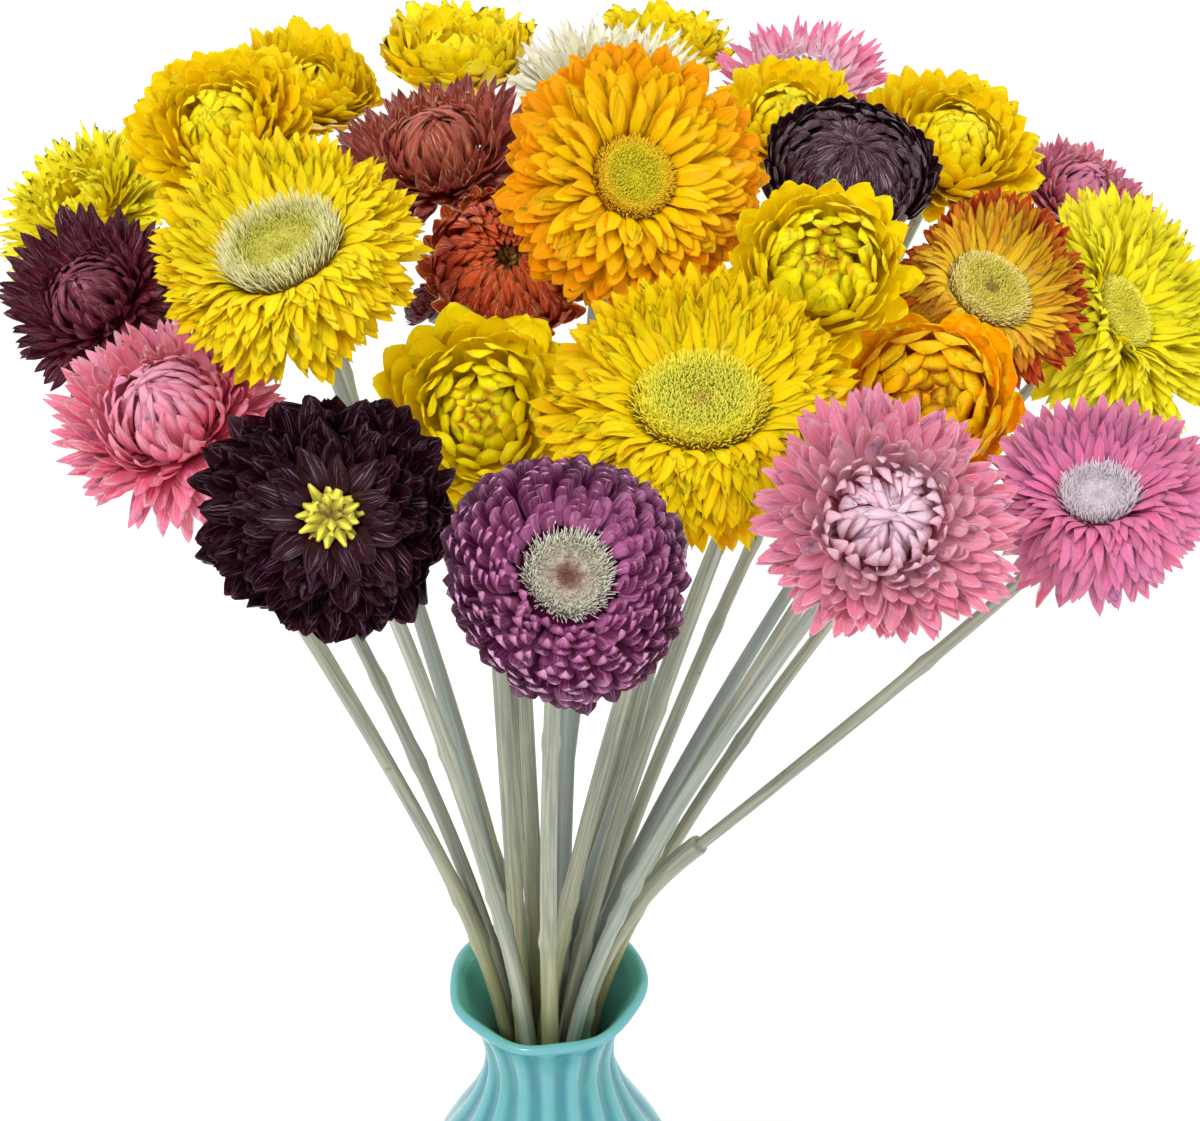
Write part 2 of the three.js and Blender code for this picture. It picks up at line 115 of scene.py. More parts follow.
def turned_mesh(name, distances, heights, angles):
    """A closed mesh from rows of rings between two poles on the Z axis."""
    rows, columns = distances.shape
    ring = np.stack([distances * np.cos(angles), distances * np.sin(angles), heights], -1).reshape(-1, 3)
    poles = [(0, 0, heights[0].mean()), (0, 0, heights[-1].mean())]
    first, last = rows * columns, rows * columns + 1
    faces = []
    for row in range(rows - 1):
        for column in range(columns):
            near, far = row * columns + column, row * columns + (column + 1) % columns
            faces.append((near, far, far + columns, near + columns))
    top = (rows - 1) * columns
    for column in range(columns):
        following = (column + 1) % columns
        faces += [(first, following, column), (last, top + column, top + following)]
    mesh = bpy.data.meshes.new(name)
    mesh.from_pydata([tuple(spot) for spot in ring] + poles, [], faces)
    mesh.shade_smooth()
    return mesh


def remember(mesh, name, values):
    """A value on each vertex, for a material to read."""
    mesh.attributes.new(name, "FLOAT", "POINT").data.foreach_set("value", np.asarray(values, np.float32))


def sum_of(operation, turned=False):
    """A way to write a Math node: its wire comes first, or last where the sum is turned round."""

    def method(wire, *values):
        return wire.maths(operation, *((*values, wire) if turned else (wire, *values)))

    return method


class Wire:
    """One output of a node. A sum on it adds Math nodes to its tree."""

    __add__ = __radd__ = sum_of("ADD")
    __sub__ = sum_of("SUBTRACT")
    __rsub__ = sum_of("SUBTRACT", turned=True)
    __mul__ = __rmul__ = sum_of("MULTIPLY")
    __truediv__ = sum_of("DIVIDE")
    __pow__ = sum_of("POWER")
    abs = sum_of("ABSOLUTE")
    sin = sum_of("SINE")
    cos = sum_of("COSINE")

    def __init__(self, tree, socket=None):
        self.tree = tree
        self.socket = socket

    def node(self, kind, settings=None, values=None, output=0):
        """The output of a new node, from its settings and then the values or wires of its sockets."""
        made = self.tree.nodes.new(kind)
        for name, value in (settings or {}).items():
            setattr(made, name, value)
        for name, value in (values or {}).items():
            if isinstance(value, Wire):
                self.tree.links.new(value.socket, made.inputs[name])
            else:
                made.inputs[name].default_value = value
        return Wire(self.tree, made.outputs[output] if made.outputs else None)

    def other(self, name):
        """Another output of the same node."""
        return Wire(self.tree, self.socket.node.outputs[name])

    def maths(self, operation, *values):
        return self.node("ShaderNodeMath", {"operation": operation}, dict(enumerate(values)))

    def rising(self, low, high):
        """0 up to a low value, 1 from a high one, and smooth between."""
        settings = {"interpolation_type": "SMOOTHSTEP"}
        return self.node("ShaderNodeMapRange", settings, {"Value": self, "From Min": low, "From Max": high})

    def mixed(self, low, high):
        """The colour low where this wire is 0 and high where it is 1."""
        return self.node("ShaderNodeMix", {"data_type": "RGBA"}, {0: self, 6: low, 7: high}, output=2)

    def lit(self, share):
        """A colour made lighter or darker."""
        return self.node("ShaderNodeHueSaturation", None, {"Color": self, "Value": share})

    def vector(self, x, y, z):
        return self.node("ShaderNodeCombineXYZ", None, {0: x, 1: y, 2: z})

    def part(self, axis):
        """One part of a vector: 0 along X, 1 along Y and 2 along Z."""
        return self.node("ShaderNodeSeparateXYZ", None, {0: self}, output=axis)

    def scaled(self, size):
        return self.node("ShaderNodeVectorMath", {"operation": "SCALE"}, {0: self, "Scale": size})

    def noise(self, place, scale, detail=3.0, rough=0.55):
        values = {"Vector": place, "Scale": scale, "Detail": detail, "Roughness": rough}
        return self.node("ShaderNodeTexNoise", None, values)

    def attribute(self, name, output="Fac"):
        return self.node("ShaderNodeAttribute", {"attribute_name": name}).other(output)

    def objects(self):
        return self.node("ShaderNodeTexCoord").other("Object")


def hue(red, green, blue):
    """A colour as a screen shows it, 0 to 255, as light."""
    shares = [value / 255 for value in (red, green, blue)]
    return (*[s / 12.92 if s <= 0.04045 else ((s + 0.055) / 1.055) ** 2.4 for s in shares], 1)


def new_finish(name, **fixed):
    """A new material, the wire that its nodes start from and its shader's node."""
    material = bpy.data.materials.new(name)
    material.use_nodes = True
    shader = material.node_tree.nodes["Principled BSDF"]
    for socket, value in fixed.items():
        shader.inputs[socket.replace("_", " ")].default_value = value
    return material, Wire(material.node_tree), shader


def feed(shader, socket, wire):
    wire.tree.links.new(wire.socket, shader.inputs[socket])


def bumped(shader, height, distance, strength):
    bump = height.node("ShaderNodeBump", None, {"Height": height, "Distance": distance, "Strength": strength})
    feed(shader, "Normal", bump)


def placed(name, mesh, nodes, slot):
    """A finished piece that stands for CAD nodes and rides on the part's one body."""
    piece = bpy.data.objects.new(name, mesh)
    scene.collection.objects.link(piece)
    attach(piece, "root")
    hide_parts(*nodes)


GLAZE_RIDGE = hue(98, 166, 172)
GLAZE_FURROW = hue(48, 124, 136)
GLAZE_GREEN = hue(78, 152, 146)
# Inside the vase the glaze is greener, and lighter as painted light that offsets the shade within the neck.
GLAZE_INSIDE_PAINTED_LIGHTER = hue(104, 186, 166)
GLAZE_CLOUDS = 45
GLAZE_SPECKLES = 900
GLAZE_DIMPLES = 160
GLAZE_RIPPLES = 30
GLAZE_RELIEF = 0.0004


def glaze_finish():
    """Pale on the ridges and darker in the furrows, clouded with green, greener and painted lighter inside,
    and speckled.
    """
    material, start, shader = new_finish("turquoise glaze", Coat_Weight=0.16, Coat_Roughness=0.08,
                                         Specular_IOR_Level=0.3)
    where = start.objects()
    cloud = start.noise(where, GLAZE_CLOUDS)
    colour = start.attribute("ridge").rising(0.05, 0.95).mixed(GLAZE_FURROW, GLAZE_RIDGE)
    colour = (cloud.rising(0.45, 0.75) * 0.6).mixed(colour, GLAZE_GREEN)
    # Painted light: the inside is mixed toward a greener, lighter glaze that offsets the shade within the
    # neck.
    colour = (start.attribute("inside") * 0.8).mixed(colour, GLAZE_INSIDE_PAINTED_LIGHTER)
    speckle = start.noise(where, GLAZE_SPECKLES, 2).rising(0.66, 0.74)
    feed(shader, "Base Color", (speckle * 0.25).mixed(colour, GLAZE_FURROW))
    feed(shader, "Roughness", 0.16 + cloud * 0.1)
    uneven = start.noise(where, GLAZE_DIMPLES, 2) + start.noise(where, GLAZE_RIPPLES, 1) * 2
    bumped(shader, uneven, GLAZE_RELIEF, 0.5)
    return material


vase_line = smooth_line(VASE_LINE, STEPS_BETWEEN)
vase_distance, vase_height = vase_line[:, :1], vase_line[:, 1:]
vase_outside = np.arange(len(vase_line))[:, None] < OUTSIDE_POINTS * STEPS_BETWEEN
vase_round = np.linspace(0, 2 * math.pi, VASE_COLUMNS, endpoint=False)[None, :]
below_rim = VASE_HEIGHT - vase_height
near_lip = 1 - smooth_step(*LIP_SPAN, below_rim)
flute = 1 - np.cos(FLUTES / 2 * vase_round) ** 2
fluted = vase_outside * smooth_step(*FLUTES_BEGIN, below_rim) * smooth_step(0, FLUTES_END, vase_height)
vase_swirl = SWIRL * np.maximum(0, (SWIRL_TOP - vase_height) / SWIRL_TOP) ** SWIRL_BEND
vase_waves = near_lip * LIP_WAVE * np.cos(LIP_WAVES * vase_round)
vase_reach = vase_distance + vase_waves - FLUTE_DEPTH * flute * fluted
vase_rise = vase_height - near_lip * LIP_WAVE * (1 + np.cos(LIP_WAVES * vase_round + LIP_TURN))
vase_mesh = turned_mesh("vase", vase_reach * MM, vase_rise * MM, vase_round - vase_swirl)
remember(vase_mesh, "ridge", [*(1 - flute * fluted).ravel(), 1, 1])
remember(vase_mesh, "inside", [*np.repeat(~vase_outside, VASE_COLUMNS), 0, 1])
vase_mesh.materials.append(glaze_finish())
placed("glazed_vase", vase_mesh, ["vase"], "glaze")

# The heads: where each sits, where its face looks and how large it is. A head is a cone of pith
# that carries crowns of stiff papery bracts, the strawflower's petals, in a spiral.
HEADS = {
    "yellow_far_left": dict(at=(-108, 57, 344), lean=35, turn=-33, radius=21, form="shut"),
    "burgundy_left": dict(at=(-91, 0, 343), lean=45, turn=-8, radius=19, form="domed"),
    "golden_left": dict(at=(-70, 43, 366), lean=45, turn=-10, radius=20, form="domed"),
    "golden_back_left": dict(at=(-57, 86, 362), lean=22, turn=40, radius=19, form="cup"),
    "yellow_disc_left": dict(at=(-46, -25, 362), lean=39, turn=-6, radius=24.5, form="wide", disc=0.46),
    "yellow_back": dict(at=(-21, 90, 367), lean=10, turn=-4, radius=20.5, form="cup"),
    "cream_back": dict(at=(16, 78, 366), lean=24, turn=7, radius=23, form="shut"),
    "yellow_tip_back": dict(at=(30, 119, 363), lean=10, turn=29, radius=18, form="cup"),
    "pink_back": dict(at=(62, 82, 365), lean=30, turn=5, radius=20, form="shut"),
    "bronze_left": dict(at=(-21, 29, 365), lean=21, turn=-16, radius=21.5, form="domed"),
    "amber_disc_top": dict(at=(20, -4, 370), lean=57, turn=13, radius=24.5, form="open", disc=0.33),
    "golden_behind": dict(at=(56, 54, 365), lean=30, turn=-3, radius=17.5, form="domed"),
    "dark_dome": dict(at=(66, 20, 363), lean=27, turn=0, radius=20.5, form="globe"),
    "golden_back_right": dict(at=(96, 63, 356), lean=31, turn=18, radius=22, form="domed"),
    "mauve_back_right": dict(at=(135, 87, 337), lean=29, turn=38, radius=18, form="domed"),
    "rust_centre": dict(at=(-5, -2, 351), lean=50, turn=5, radius=19, form="eyed", disc=0.18),
    "yellow_bud_right": dict(at=(56, -19, 356), lean=47, turn=-1, radius=18.5, form="globe"),
    "flame_disc_right": dict(at=(93, -3, 346), lean=50, turn=-2, radius=19.5, form="wide", disc=0.46),
    "lemon_far_right": dict(at=(125, 10, 336), lean=49, turn=17, radius=25, form="open", disc=0.32),
    "pink_left": dict(at=(-68, -39, 334), lean=36, turn=-7, radius=21, form="domed"),
    "black_front": dict(at=(-32, -77, 334), lean=61, turn=2, radius=21.5, form="eyed", disc=0.2),
    "yellow_front_left": dict(at=(-9, -32, 332), lean=58, turn=6, radius=19.5, form="incurved"),
    "yellow_disc_centre": dict(at=(32, -47, 341), lean=42, turn=-2, radius=26, form="wide", disc=0.46),
    "orange_front_right": dict(at=(78, -27, 333), lean=57, turn=-11, radius=19, form="globe"),
    "magenta_front": dict(at=(8, -88, 328), lean=52, turn=7, radius=21, form="bowl", disc=0.34),
    "pink_front_right": dict(at=(63, -73, 331), lean=55, turn=-4, radius=21, form="domed"),
    "rose_far_right": dict(at=(107, -50, 323), lean=48, turn=-13, radius=19.5, form="open", disc=0.35),
    "golden_inner": dict(at=(40, 12, 332), lean=30, turn=-3, radius=14, form="incurved"),
    "burgundy_bud": dict(at=(-23, 2, 341), lean=50, turn=-80, radius=6, form="globe"),
}
# How a form's bracts lie, for the outermost, the middle and the innermost crown, in radii of the
# head: where they grow from and end, out from the axis and up along it, and how far they bow.
FORMS = {
    "open": dict(flatness=0.36, top=0.02, foot_out=(0.36, 0.38, 0.33), foot_up=(-0.22, -0.08, 0.0),
                 tip_out=(1.1, 0.98, 0.6), tip_up=(-0.12, 0.14, 0.22), bow=(8, 4, 20)),
    "wide": dict(flatness=0.36, top=0.02, foot_out=(0.38, 0.44, 0.46), foot_up=(-0.22, -0.08, 0.0),
                 tip_out=(1.1, 1.0, 0.74), tip_up=(-0.14, 0.1, 0.15), bow=(8, 4, 10)),
    "shut": dict(flatness=0.36, top=0.1, foot_out=(0.36, 0.36, 0.24), foot_up=(-0.22, -0.08, 0.04),
                 tip_out=(1.1, 0.94, 0.04), tip_up=(-0.1, 0.24, 0.4), bow=(8, -10, -56)),
    "domed": dict(flatness=0.44, top=0.16, foot_out=(0.4, 0.44, 0.28), foot_up=(-0.22, -0.08, 0.04),
                  tip_out=(1.08, 0.84, -0.12), tip_up=(-0.06, 0.32, 0.44), bow=(4, -24, -60)),
    "incurved": dict(flatness=0.44, top=0.24, foot_out=(0.4, 0.46, 0.3), foot_up=(-0.22, -0.08, 0.06),
                     tip_out=(1.1, 0.6, -0.06), tip_up=(-0.04, 0.46, 0.48), bow=(4, -58, -64)),
    "eyed": dict(flatness=0.42, top=0.06, foot_out=(0.44, 0.54, 0.3), foot_up=(-0.22, -0.1, 0.02),
                 tip_out=(0.98, 0.52, 0.1), tip_up=(0.14, 0.42, 0.34), bow=(-36, -66, -60)),
    "globe": dict(flatness=0.48, top=0.36, foot_out=(0.44, 0.52, 0.32), foot_up=(-0.22, -0.08, 0.06),
                  tip_out=(1.0, 0.58, -0.06), tip_up=(0.14, 0.48, 0.5), bow=(-36, -66, -66)),
    "cup": dict(flatness=0.48, top=0.04, foot_out=(0.3, 0.28, 0.2), foot_up=(-0.24, -0.14, 0.0),
                tip_out=(1.02, 0.84, 0.0), tip_up=(0.3, 0.56, 0.5), bow=(-6, -14, -44)),
    "bowl": dict(flatness=0.4, top=0.06, foot_out=(0.56, 0.52, 0.38), foot_up=(-0.2, -0.02, 0.04),
                 tip_out=(1.01, 0.84, 0.42), tip_up=(0.04, 0.38, 0.3), bow=(-40, -54, -40)),
}
SEAT_DEPTH = 0.42
SEAT_GAP = 0.3
# The least room that a head keeps from the planes between it and its neighbours, and the room at
# which it begins to bend back from them.
CLEAR = 0.8
BEND_REACH = 7
SEARCH = 600
NARROWINGS = (0.15, 0.03, 0)
GOLDEN_ANGLE = math.pi * (3 - math.sqrt(5))


def unit(vector):
    return vector / np.linalg.norm(vector, axis=-1, keepdims=True)


def facing(head):
    """The two directions across a head and the way that its face looks."""
    lean, turn = math.radians(head["lean"]), math.radians(head["turn"])
    out = math.sin(lean)
    normal = np.array([out * math.sin(turn), -out * math.cos(turn), math.cos(lean)])
    across = unit(np.cross([0, 0, 1], normal))
    return across, np.cross(normal, across), normal


def reach(head, directions):
    """How far a head reaches from its centre in some directions, as a flattened ball."""
    along = directions @ facing(head)[2]
    through = FORMS[head["form"]]["flatness"] * along
    return head["radius"] * np.sqrt(np.maximum(0, 1 - along * along) + through * through)


def compass():
    """Directions spread evenly all round."""
    number = np.arange(SEARCH)
    height = 1 - 2 * (number + 0.5) / SEARCH
    wide = np.sqrt(1 - height * height)
    return np.stack([wide * np.cos(number * GOLDEN_ANGLE), wide * np.sin(number * GOLDEN_ANGLE), height], -1)


def parting(head, other):
    """The plane that parts two heads best, as a direction from the first and a distance along it."""
    start_at, between = np.array(head["at"], float), np.subtract(other["at"], head["at"])
    widest, ways = None, compass()
    for spread in NARROWINGS:
        room = ways @ between - reach(head, ways) - reach(other, ways)
        best = int(np.argmax(room))
        if widest is None or room[best] > widest[0]:
            widest = (room[best], ways[best])
        ways = unit(widest[1] + spread * compass())
    room, way = widest
    return way, way @ start_at + reach(head, way[None])[0] + room / 2


for head in HEADS.values():
    head["partings"] = []
    for other in HEADS.values():
        apart = np.linalg.norm(np.subtract(other["at"], head["at"]))
        if other is not head and apart < head["radius"] + other["radius"] + BEND_REACH:
            head["partings"].append(parting(head, other))


def bent_clear(points, head, clear=CLEAR, bend_reach=BEND_REACH):
    """Points of a head, in millimetres, bent back before the planes that part it from its neighbours."""
    moved = np.array(points, float)
    give = bend_reach - clear
    for way, distance in head["partings"]:
        room = distance - moved @ way
        kept = clear + give * np.exp(np.minimum(0, room - bend_reach) / give)
        moved += np.where(room < bend_reach, room - kept, 0)[:, None] * way
    return moved


def on_head(points, head):
    """Points given about the Z axis, in millimetres, once that is the head's axis."""
    return np.array(head["at"]) + np.asarray(points) @ np.array(facing(head))


# The stems: dried flower stalks, straw-like, ribbed lengthwise and with a swollen node here and
# there. They stand on the vase's floor, are bundled in its neck and fan out; a side shoot grows
# from the stem that carries it, and the thick branch at the right is cut off above its shoot.
STEM_THICK = (2.0, 2.5)
STEM_SEED = 16
STEM_TAPER = 0.6
STEM_SPREAD = 0.25
STEM_GAP = 0.4
SHOOT_RADIUS = 1.5
SHOOT_START = 0.11
SHOOT_SPREAD = 0.8
TWIG = "burgundy_bud"
TWIG_START = 0.43
SIDE_SHOOTS = {
    "golden_back_left": "golden_left",
    "yellow_tip_back": "cream_back",
    "mauve_back_right": "golden_back_right",
    "golden_behind": "pink_back",
    "golden_inner": "yellow_bud_right",
    "burgundy_left": "yellow_far_left",
    "yellow_back": "bronze_left",
    "burgundy_bud": "rust_centre",
}
CUT_BRANCH = "rose_far_right"
CUT_END = np.array([37.0, -17.0, 213.0])
CUT_RADIUS = 2.5
BRANCH_FORK = 0.9
NARROWED = 0.08
ROUNDS = 600
PULLED_ROUNDS = 400
PULL = 0.02
RISE = 0.3
NOD = 0.2
SEED_STRIDE = 3571
SEED_FACTOR = 16807
LARGEST = 2147483647
SEED_STEP = 31
TINT_STEP = 0.37
UPRIGHT = np.array([0.0, 0.0, 1.0])
LENGTH_POINTS = 20
STEM_STEP = 2.6
STEM_WOBBLE = 0.25
WOBBLE_TURNS = (3, 9)
NODE_EVERY = 70
NODES_FROM_TO = (0.08, 0.8)
NODE_SWELLING = 0.24
NODE_LENGTH = 2.2
FLARE = 0.55
FLARE_LENGTH = 3.5


def seeded(seed):
    """A run of numbers from 0 to 1 that is the same each time."""
    state = seed * SEED_STRIDE
    while True:
        state = state * SEED_FACTOR % LARGEST
        yield state / LARGEST


def neck_places(stems):
    """Where the stems pass the neck, each on the side of its own head and clear of the others."""
    starts = np.array([HEADS[name]["at"][:2] for name, _ in stems]) * NARROWED
    places = starts.copy()
    for step in range(ROUNDS):
        if step < PULLED_ROUNDS:
            places += (starts - places) * PULL
        for i, (_, radius) in enumerate(stems):
            for j in range(i):
                apart = places[i] - places[j]
                length = math.hypot(*apart)
                short = radius + stems[j][1] + STEM_GAP - length
                if short > 0:
                    shift = apart * (short / 2 / length)
                    places[i] += shift
                    places[j] -= shift
            limit = NECK_RADIUS - WALL - radius - STEM_GAP
            length = math.hypot(*places[i])
            places[i] *= min(length, limit) / (length or 1)
    return places


def seat_of(head):
    """The point behind a head where its stem ends."""
    back = bent_clear(on_head([(0, 0, -SEAT_DEPTH * head["radius"])], head), head)[0]
    return back - SEAT_GAP * facing(head)[2]


def bezier(*corners):
    """What gives the points and directions on a smooth curve, for shares of the way along it."""
    corners = np.array(corners, float)

    def at(shares):
        part = np.asarray(shares, float)[:, None, None]
        rows = np.repeat(corners[None], len(part), 0)
        while rows.shape[1] > 2:
            rows = rows[:, :-1] * (1 - part) + rows[:, 1:] * part
        run = rows[:, 1] - rows[:, 0]
        return rows[:, 0] * (1 - part[:, 0]) + rows[:, 1] * part[:, 0], unit(run)

    return at


def free_curve(begin, rising, head):
    """A stalk's curve from a point and a direction to the back of a head."""
    seat = seat_of(head)
    length = np.linalg.norm(seat - begin)
    return bezier(begin, begin + rising * RISE * length, seat - facing(head)[2] * NOD * length, seat)


def stalk_line(at, thick, thin, seed, flared=True, foot=None):
    """One stalk's points, from a foot straight below if it has one, and its radius at each."""
    length = np.linalg.norm(np.diff(at(np.linspace(0, 1, LENGTH_POINTS))[0], axis=0), axis=1).sum()
    shares = np.linspace(0, 1, int(length / STEM_STEP) + 2)
    points, _ = at(shares)
    chance = np.random.default_rng(seed)
    waves = [np.sin(shares * chance.uniform(*WOBBLE_TURNS) + chance.uniform(0, 6)) for _ in range(3)]
    points = points + STEM_WOBBLE * np.stack(waves, -1) * (np.sin(math.pi * shares) ** 0.7)[:, None]
    radius = thick + (thin - thick) * shares
    for place in chance.uniform(*NODES_FROM_TO, size=int(length / NODE_EVERY)):
        radius = radius * (1 + NODE_SWELLING * np.exp(-(((shares - place) * length / NODE_LENGTH) ** 2)))
    if flared:
        radius = radius * (1 + FLARE * np.exp(-(1 - shares) * length / FLARE_LENGTH))
    if foot is not None:
        points, radius = np.vstack([foot, points]), np.append(thick, radius)
    return points * MM, radius * MM


def curve_through(name, lines):
    """A curve with one run through each row of points, and the radius at each."""
    curve = bpy.data.curves.new(name, "CURVE")
    curve.dimensions = "3D"
    for points, radius in lines:
        spline = curve.splines.new("POLY")
        spline.points.add(len(points) - 1)
        spline.points.foreach_set("co", np.c_[points, np.ones(len(points))].ravel())
        spline.points.foreach_set("radius", radius)
    return curve


def growth(name, base, material, steps):
    """The mesh, all of one material, that a row of geometry trees makes from a base, one after another."""
    maker = bpy.data.objects.new(name, base)
    scene.collection.objects.link(maker)
    for tree, sizes in steps:
        modifier = maker.modifiers.new(tree.name, "NODES")
        modifier.node_group = tree
        for item in tree.interface.items_tree:
            if item.in_out == "INPUT" and item.name in sizes:
                modifier[item.identifier] = sizes[item.name]
            elif item.name == "Material":
                modifier[item.identifier] = material
    depsgraph = bpy.context.evaluated_depsgraph_get()
    mesh = bpy.data.meshes.new_from_object(maker.evaluated_get(depsgraph), preserve_all_data_layers=True,
                                           depsgraph=depsgraph)
    bpy.data.objects.remove(maker)
    mesh.name = name
    mesh.materials.clear()
    mesh.materials.append(material)
    return mesh


def new_tree(name, *inputs):
    """A geometry tree and the first wire of its named inputs, which come before its material."""
    tree = bpy.data.node_groups.new(name, "GeometryNodeTree")
    tree.interface.new_socket("Geometry", in_out="INPUT", socket_type="NodeSocketGeometry")
    tree.interface.new_socket("Geometry", in_out="OUTPUT", socket_type="NodeSocketGeometry")
    for label, kind, value in inputs:
        socket = tree.interface.new_socket(label, in_out="INPUT", socket_type="NodeSocket" + kind)
        socket.default_value = value
    tree.interface.new_socket("Material", in_out="INPUT", socket_type="NodeSocketMaterial")
    return tree, Wire(tree).node("NodeGroupInput")


def stored(geometry, name, value, kind="FLOAT"):
    values = {"Geometry": geometry, "Name": name, "Value": value}
    return geometry.node("GeometryNodeStoreNamedAttribute", {"data_type": kind}, values)


def recalled(wire, name):
    return wire.node("GeometryNodeInputNamedAttribute", {"data_type": "FLOAT"}, {"Name": name})


def ended(geometry, given, keeps=True, sharp=None):
    """Ends a tree: what it grew gets its material, and what came in is kept beside it."""
    grown = geometry.node("GeometryNodeSetShadeSmooth", None, {"Geometry": geometry})
    if sharp:
        values = {"Geometry": grown, "Selection": sharp, "Shade Smooth": False}
        grown = grown.node("GeometryNodeSetShadeSmooth", {"domain": "EDGE"}, values)
    if keeps:
        grown = grown.node("GeometryNodeJoinGeometry", None, {0: grown})
        grown.tree.links.new(given.socket, grown.socket.node.inputs[0])
    grown = grown.node("GeometryNodeRealizeInstances", None, {"Geometry": grown})
    values = {"Geometry": grown, "Material": given.other("Material")}
    grown.node("NodeGroupOutput", None, {0: grown.node("GeometryNodeSetMaterial", None, values)})


def new_stalk_tree():
    """Sweeps a ribbed ring along each line of a curve, as thick as the radius there."""
    tree, given = new_tree("ribbed stalk along its line", ("Ribs", "Int", 7), ("Rib depth", "Float", 0.07))
    line = stored(given, "along", given.node("GeometryNodeSplineParameter").other("Length"))
    values = {"Resolution": given.other("Ribs") * 2, "Radius": 1.0}
    ring = given.node("GeometryNodeCurvePrimitiveCircle", None, values)
    point = given.node("GeometryNodeInputPosition")
    number = given.node("GeometryNodeInputIndex")
    rib = number.maths("MODULO", number, 2.0)
    ribbed = point.scaled(1 - rib * given.other("Rib depth"))
    ring = ring.node("GeometryNodeSetPosition", None, {"Geometry": ring, "Position": ribbed})
    ring = stored(ring, "rib", rib)
    ring = stored(ring, "around", point, "FLOAT_VECTOR")
    thick = given.node("GeometryNodeInputRadius")
    values = {"Curve": line, "Profile Curve": ring, "Scale": thick, "Fill Caps": True}
    ended(line.node("GeometryNodeCurveToMesh", None, values), given, keeps=False)
    return tree


STALK_KHAKI = hue(170, 168, 142)
STALK_PALE = hue(198, 200, 184)
STALK_GREY = hue(118, 128, 118)
STALK_BLUE = hue(128, 146, 148)
STALK_OLIVE = hue(154, 148, 84)
STALK_NODE = hue(104, 92, 70)
STREAKS_ALONG = 14
STREAKS_AROUND = 3.2
PALE_STREAKS = 0.9
STALK_FLECKS = 260
STALK_RELIEF = 0.0002
OLIVE_HEIGHT = 90


def stalk_finish():
    """Khaki streaked with grey along the stalk; some stalks are bluish, others olive near the vase."""
    material, start, shader = new_finish("dried stalk", Roughness=0.38, Specular_IOR_Level=0.5)
    where = start.objects()
    around, tint = start.attribute("around", "Vector"), start.attribute("tint")
    shifted = start.vector(tint * 20, 0, start.attribute("along") * STREAKS_ALONG)
    lengthwise = around.node("ShaderNodeVectorMath", None, {0: around, 1: shifted})
    streak = start.noise(lengthwise, STREAKS_AROUND, 4, 0.6)
    colour = streak.rising(0.34, 0.66).mixed(STALK_GREY, STALK_KHAKI)
    pale = start.noise(lengthwise, PALE_STREAKS, 2).rising(0.5, 0.75)
    colour = (pale * 0.8).mixed(colour, STALK_PALE)
    colour = (tint.rising(0.35, 1.0) * 0.7).mixed(colour, STALK_BLUE)
    colour = (start.attribute("rib") * 0.3).mixed(colour, STALK_GREY)
    low = 1 - where.part(2).rising(NECK_HEIGHT * MM, (NECK_HEIGHT + OLIVE_HEIGHT) * MM)
    colour = (low * (1 - tint).rising(0.45, 0.8) * 0.7).mixed(colour, STALK_OLIVE)
    flecks = start.noise(where, STALK_FLECKS, 2).rising(0.7, 0.78)
    feed(shader, "Base Color", (flecks * 0.5).mixed(colour, STALK_NODE))
    bumped(shader, streak, STALK_RELIEF, 0.5)
    return material


stalk_tree = new_stalk_tree()
stalk = stalk_finish()
stems = []
thickness = seeded(STEM_SEED)
for name in HEADS:
    if name not in SIDE_SHOOTS:
        stems.append((name, STEM_THICK[0] + (STEM_THICK[1] - STEM_THICK[0]) * next(thickness)))
for (name, radius), place in zip(stems, neck_places(stems)):
    neck = np.array([*place, NECK_HEIGHT])
    foot = np.array([*place, FLOOR + SEAT_GAP])
    seed = len(name) + SEED_STEP * list(HEADS).index(name)
    if name == CUT_BRANCH:
        bend = neck + UPRIGHT * np.linalg.norm(CUT_END - neck) / 2
        branch = bezier(neck, bend, CUT_END)
        fork, _ = branch([BRANCH_FORK])
        at = free_curve(fork[0], branch([1.0])[1][0], HEADS[name])
        lines = [
            stalk_line(branch, radius, CUT_RADIUS, seed, flared=False, foot=foot),
            stalk_line(at, SHOOT_RADIUS, SHOOT_RADIUS, seed + 1),
        ]
    else:
        straight = unit(seat_of(HEADS[name]) - neck)
        at = free_curve(neck, unit(UPRIGHT + (straight - UPRIGHT) * STEM_SPREAD), HEADS[name])
        lines = [stalk_line(at, radius, radius * STEM_TAPER, seed, foot=foot)]
    for shoot in [shoot for shoot, carrier in SIDE_SHOOTS.items() if carrier == name]:
        fork, rising = at([TWIG_START if shoot == TWIG else SHOOT_START])
        aim = unit(seat_of(HEADS[shoot]) - fork[0])
        shoot_at = free_curve(fork[0], unit(rising[0] + (aim - rising[0]) * SHOOT_SPREAD), HEADS[shoot])
        lines.append(stalk_line(shoot_at, SHOOT_RADIUS, SHOOT_RADIUS, seed + len(shoot)))
    mesh = growth("stalk_" + name, curve_through(name, lines), stalk, [(stalk_tree, {})])
    remember(mesh, "tint", np.full(len(mesh.vertices), seed * TINT_STEP % 1))
    placed("stalk_" + name, mesh, ["stem_" + name], "stem")

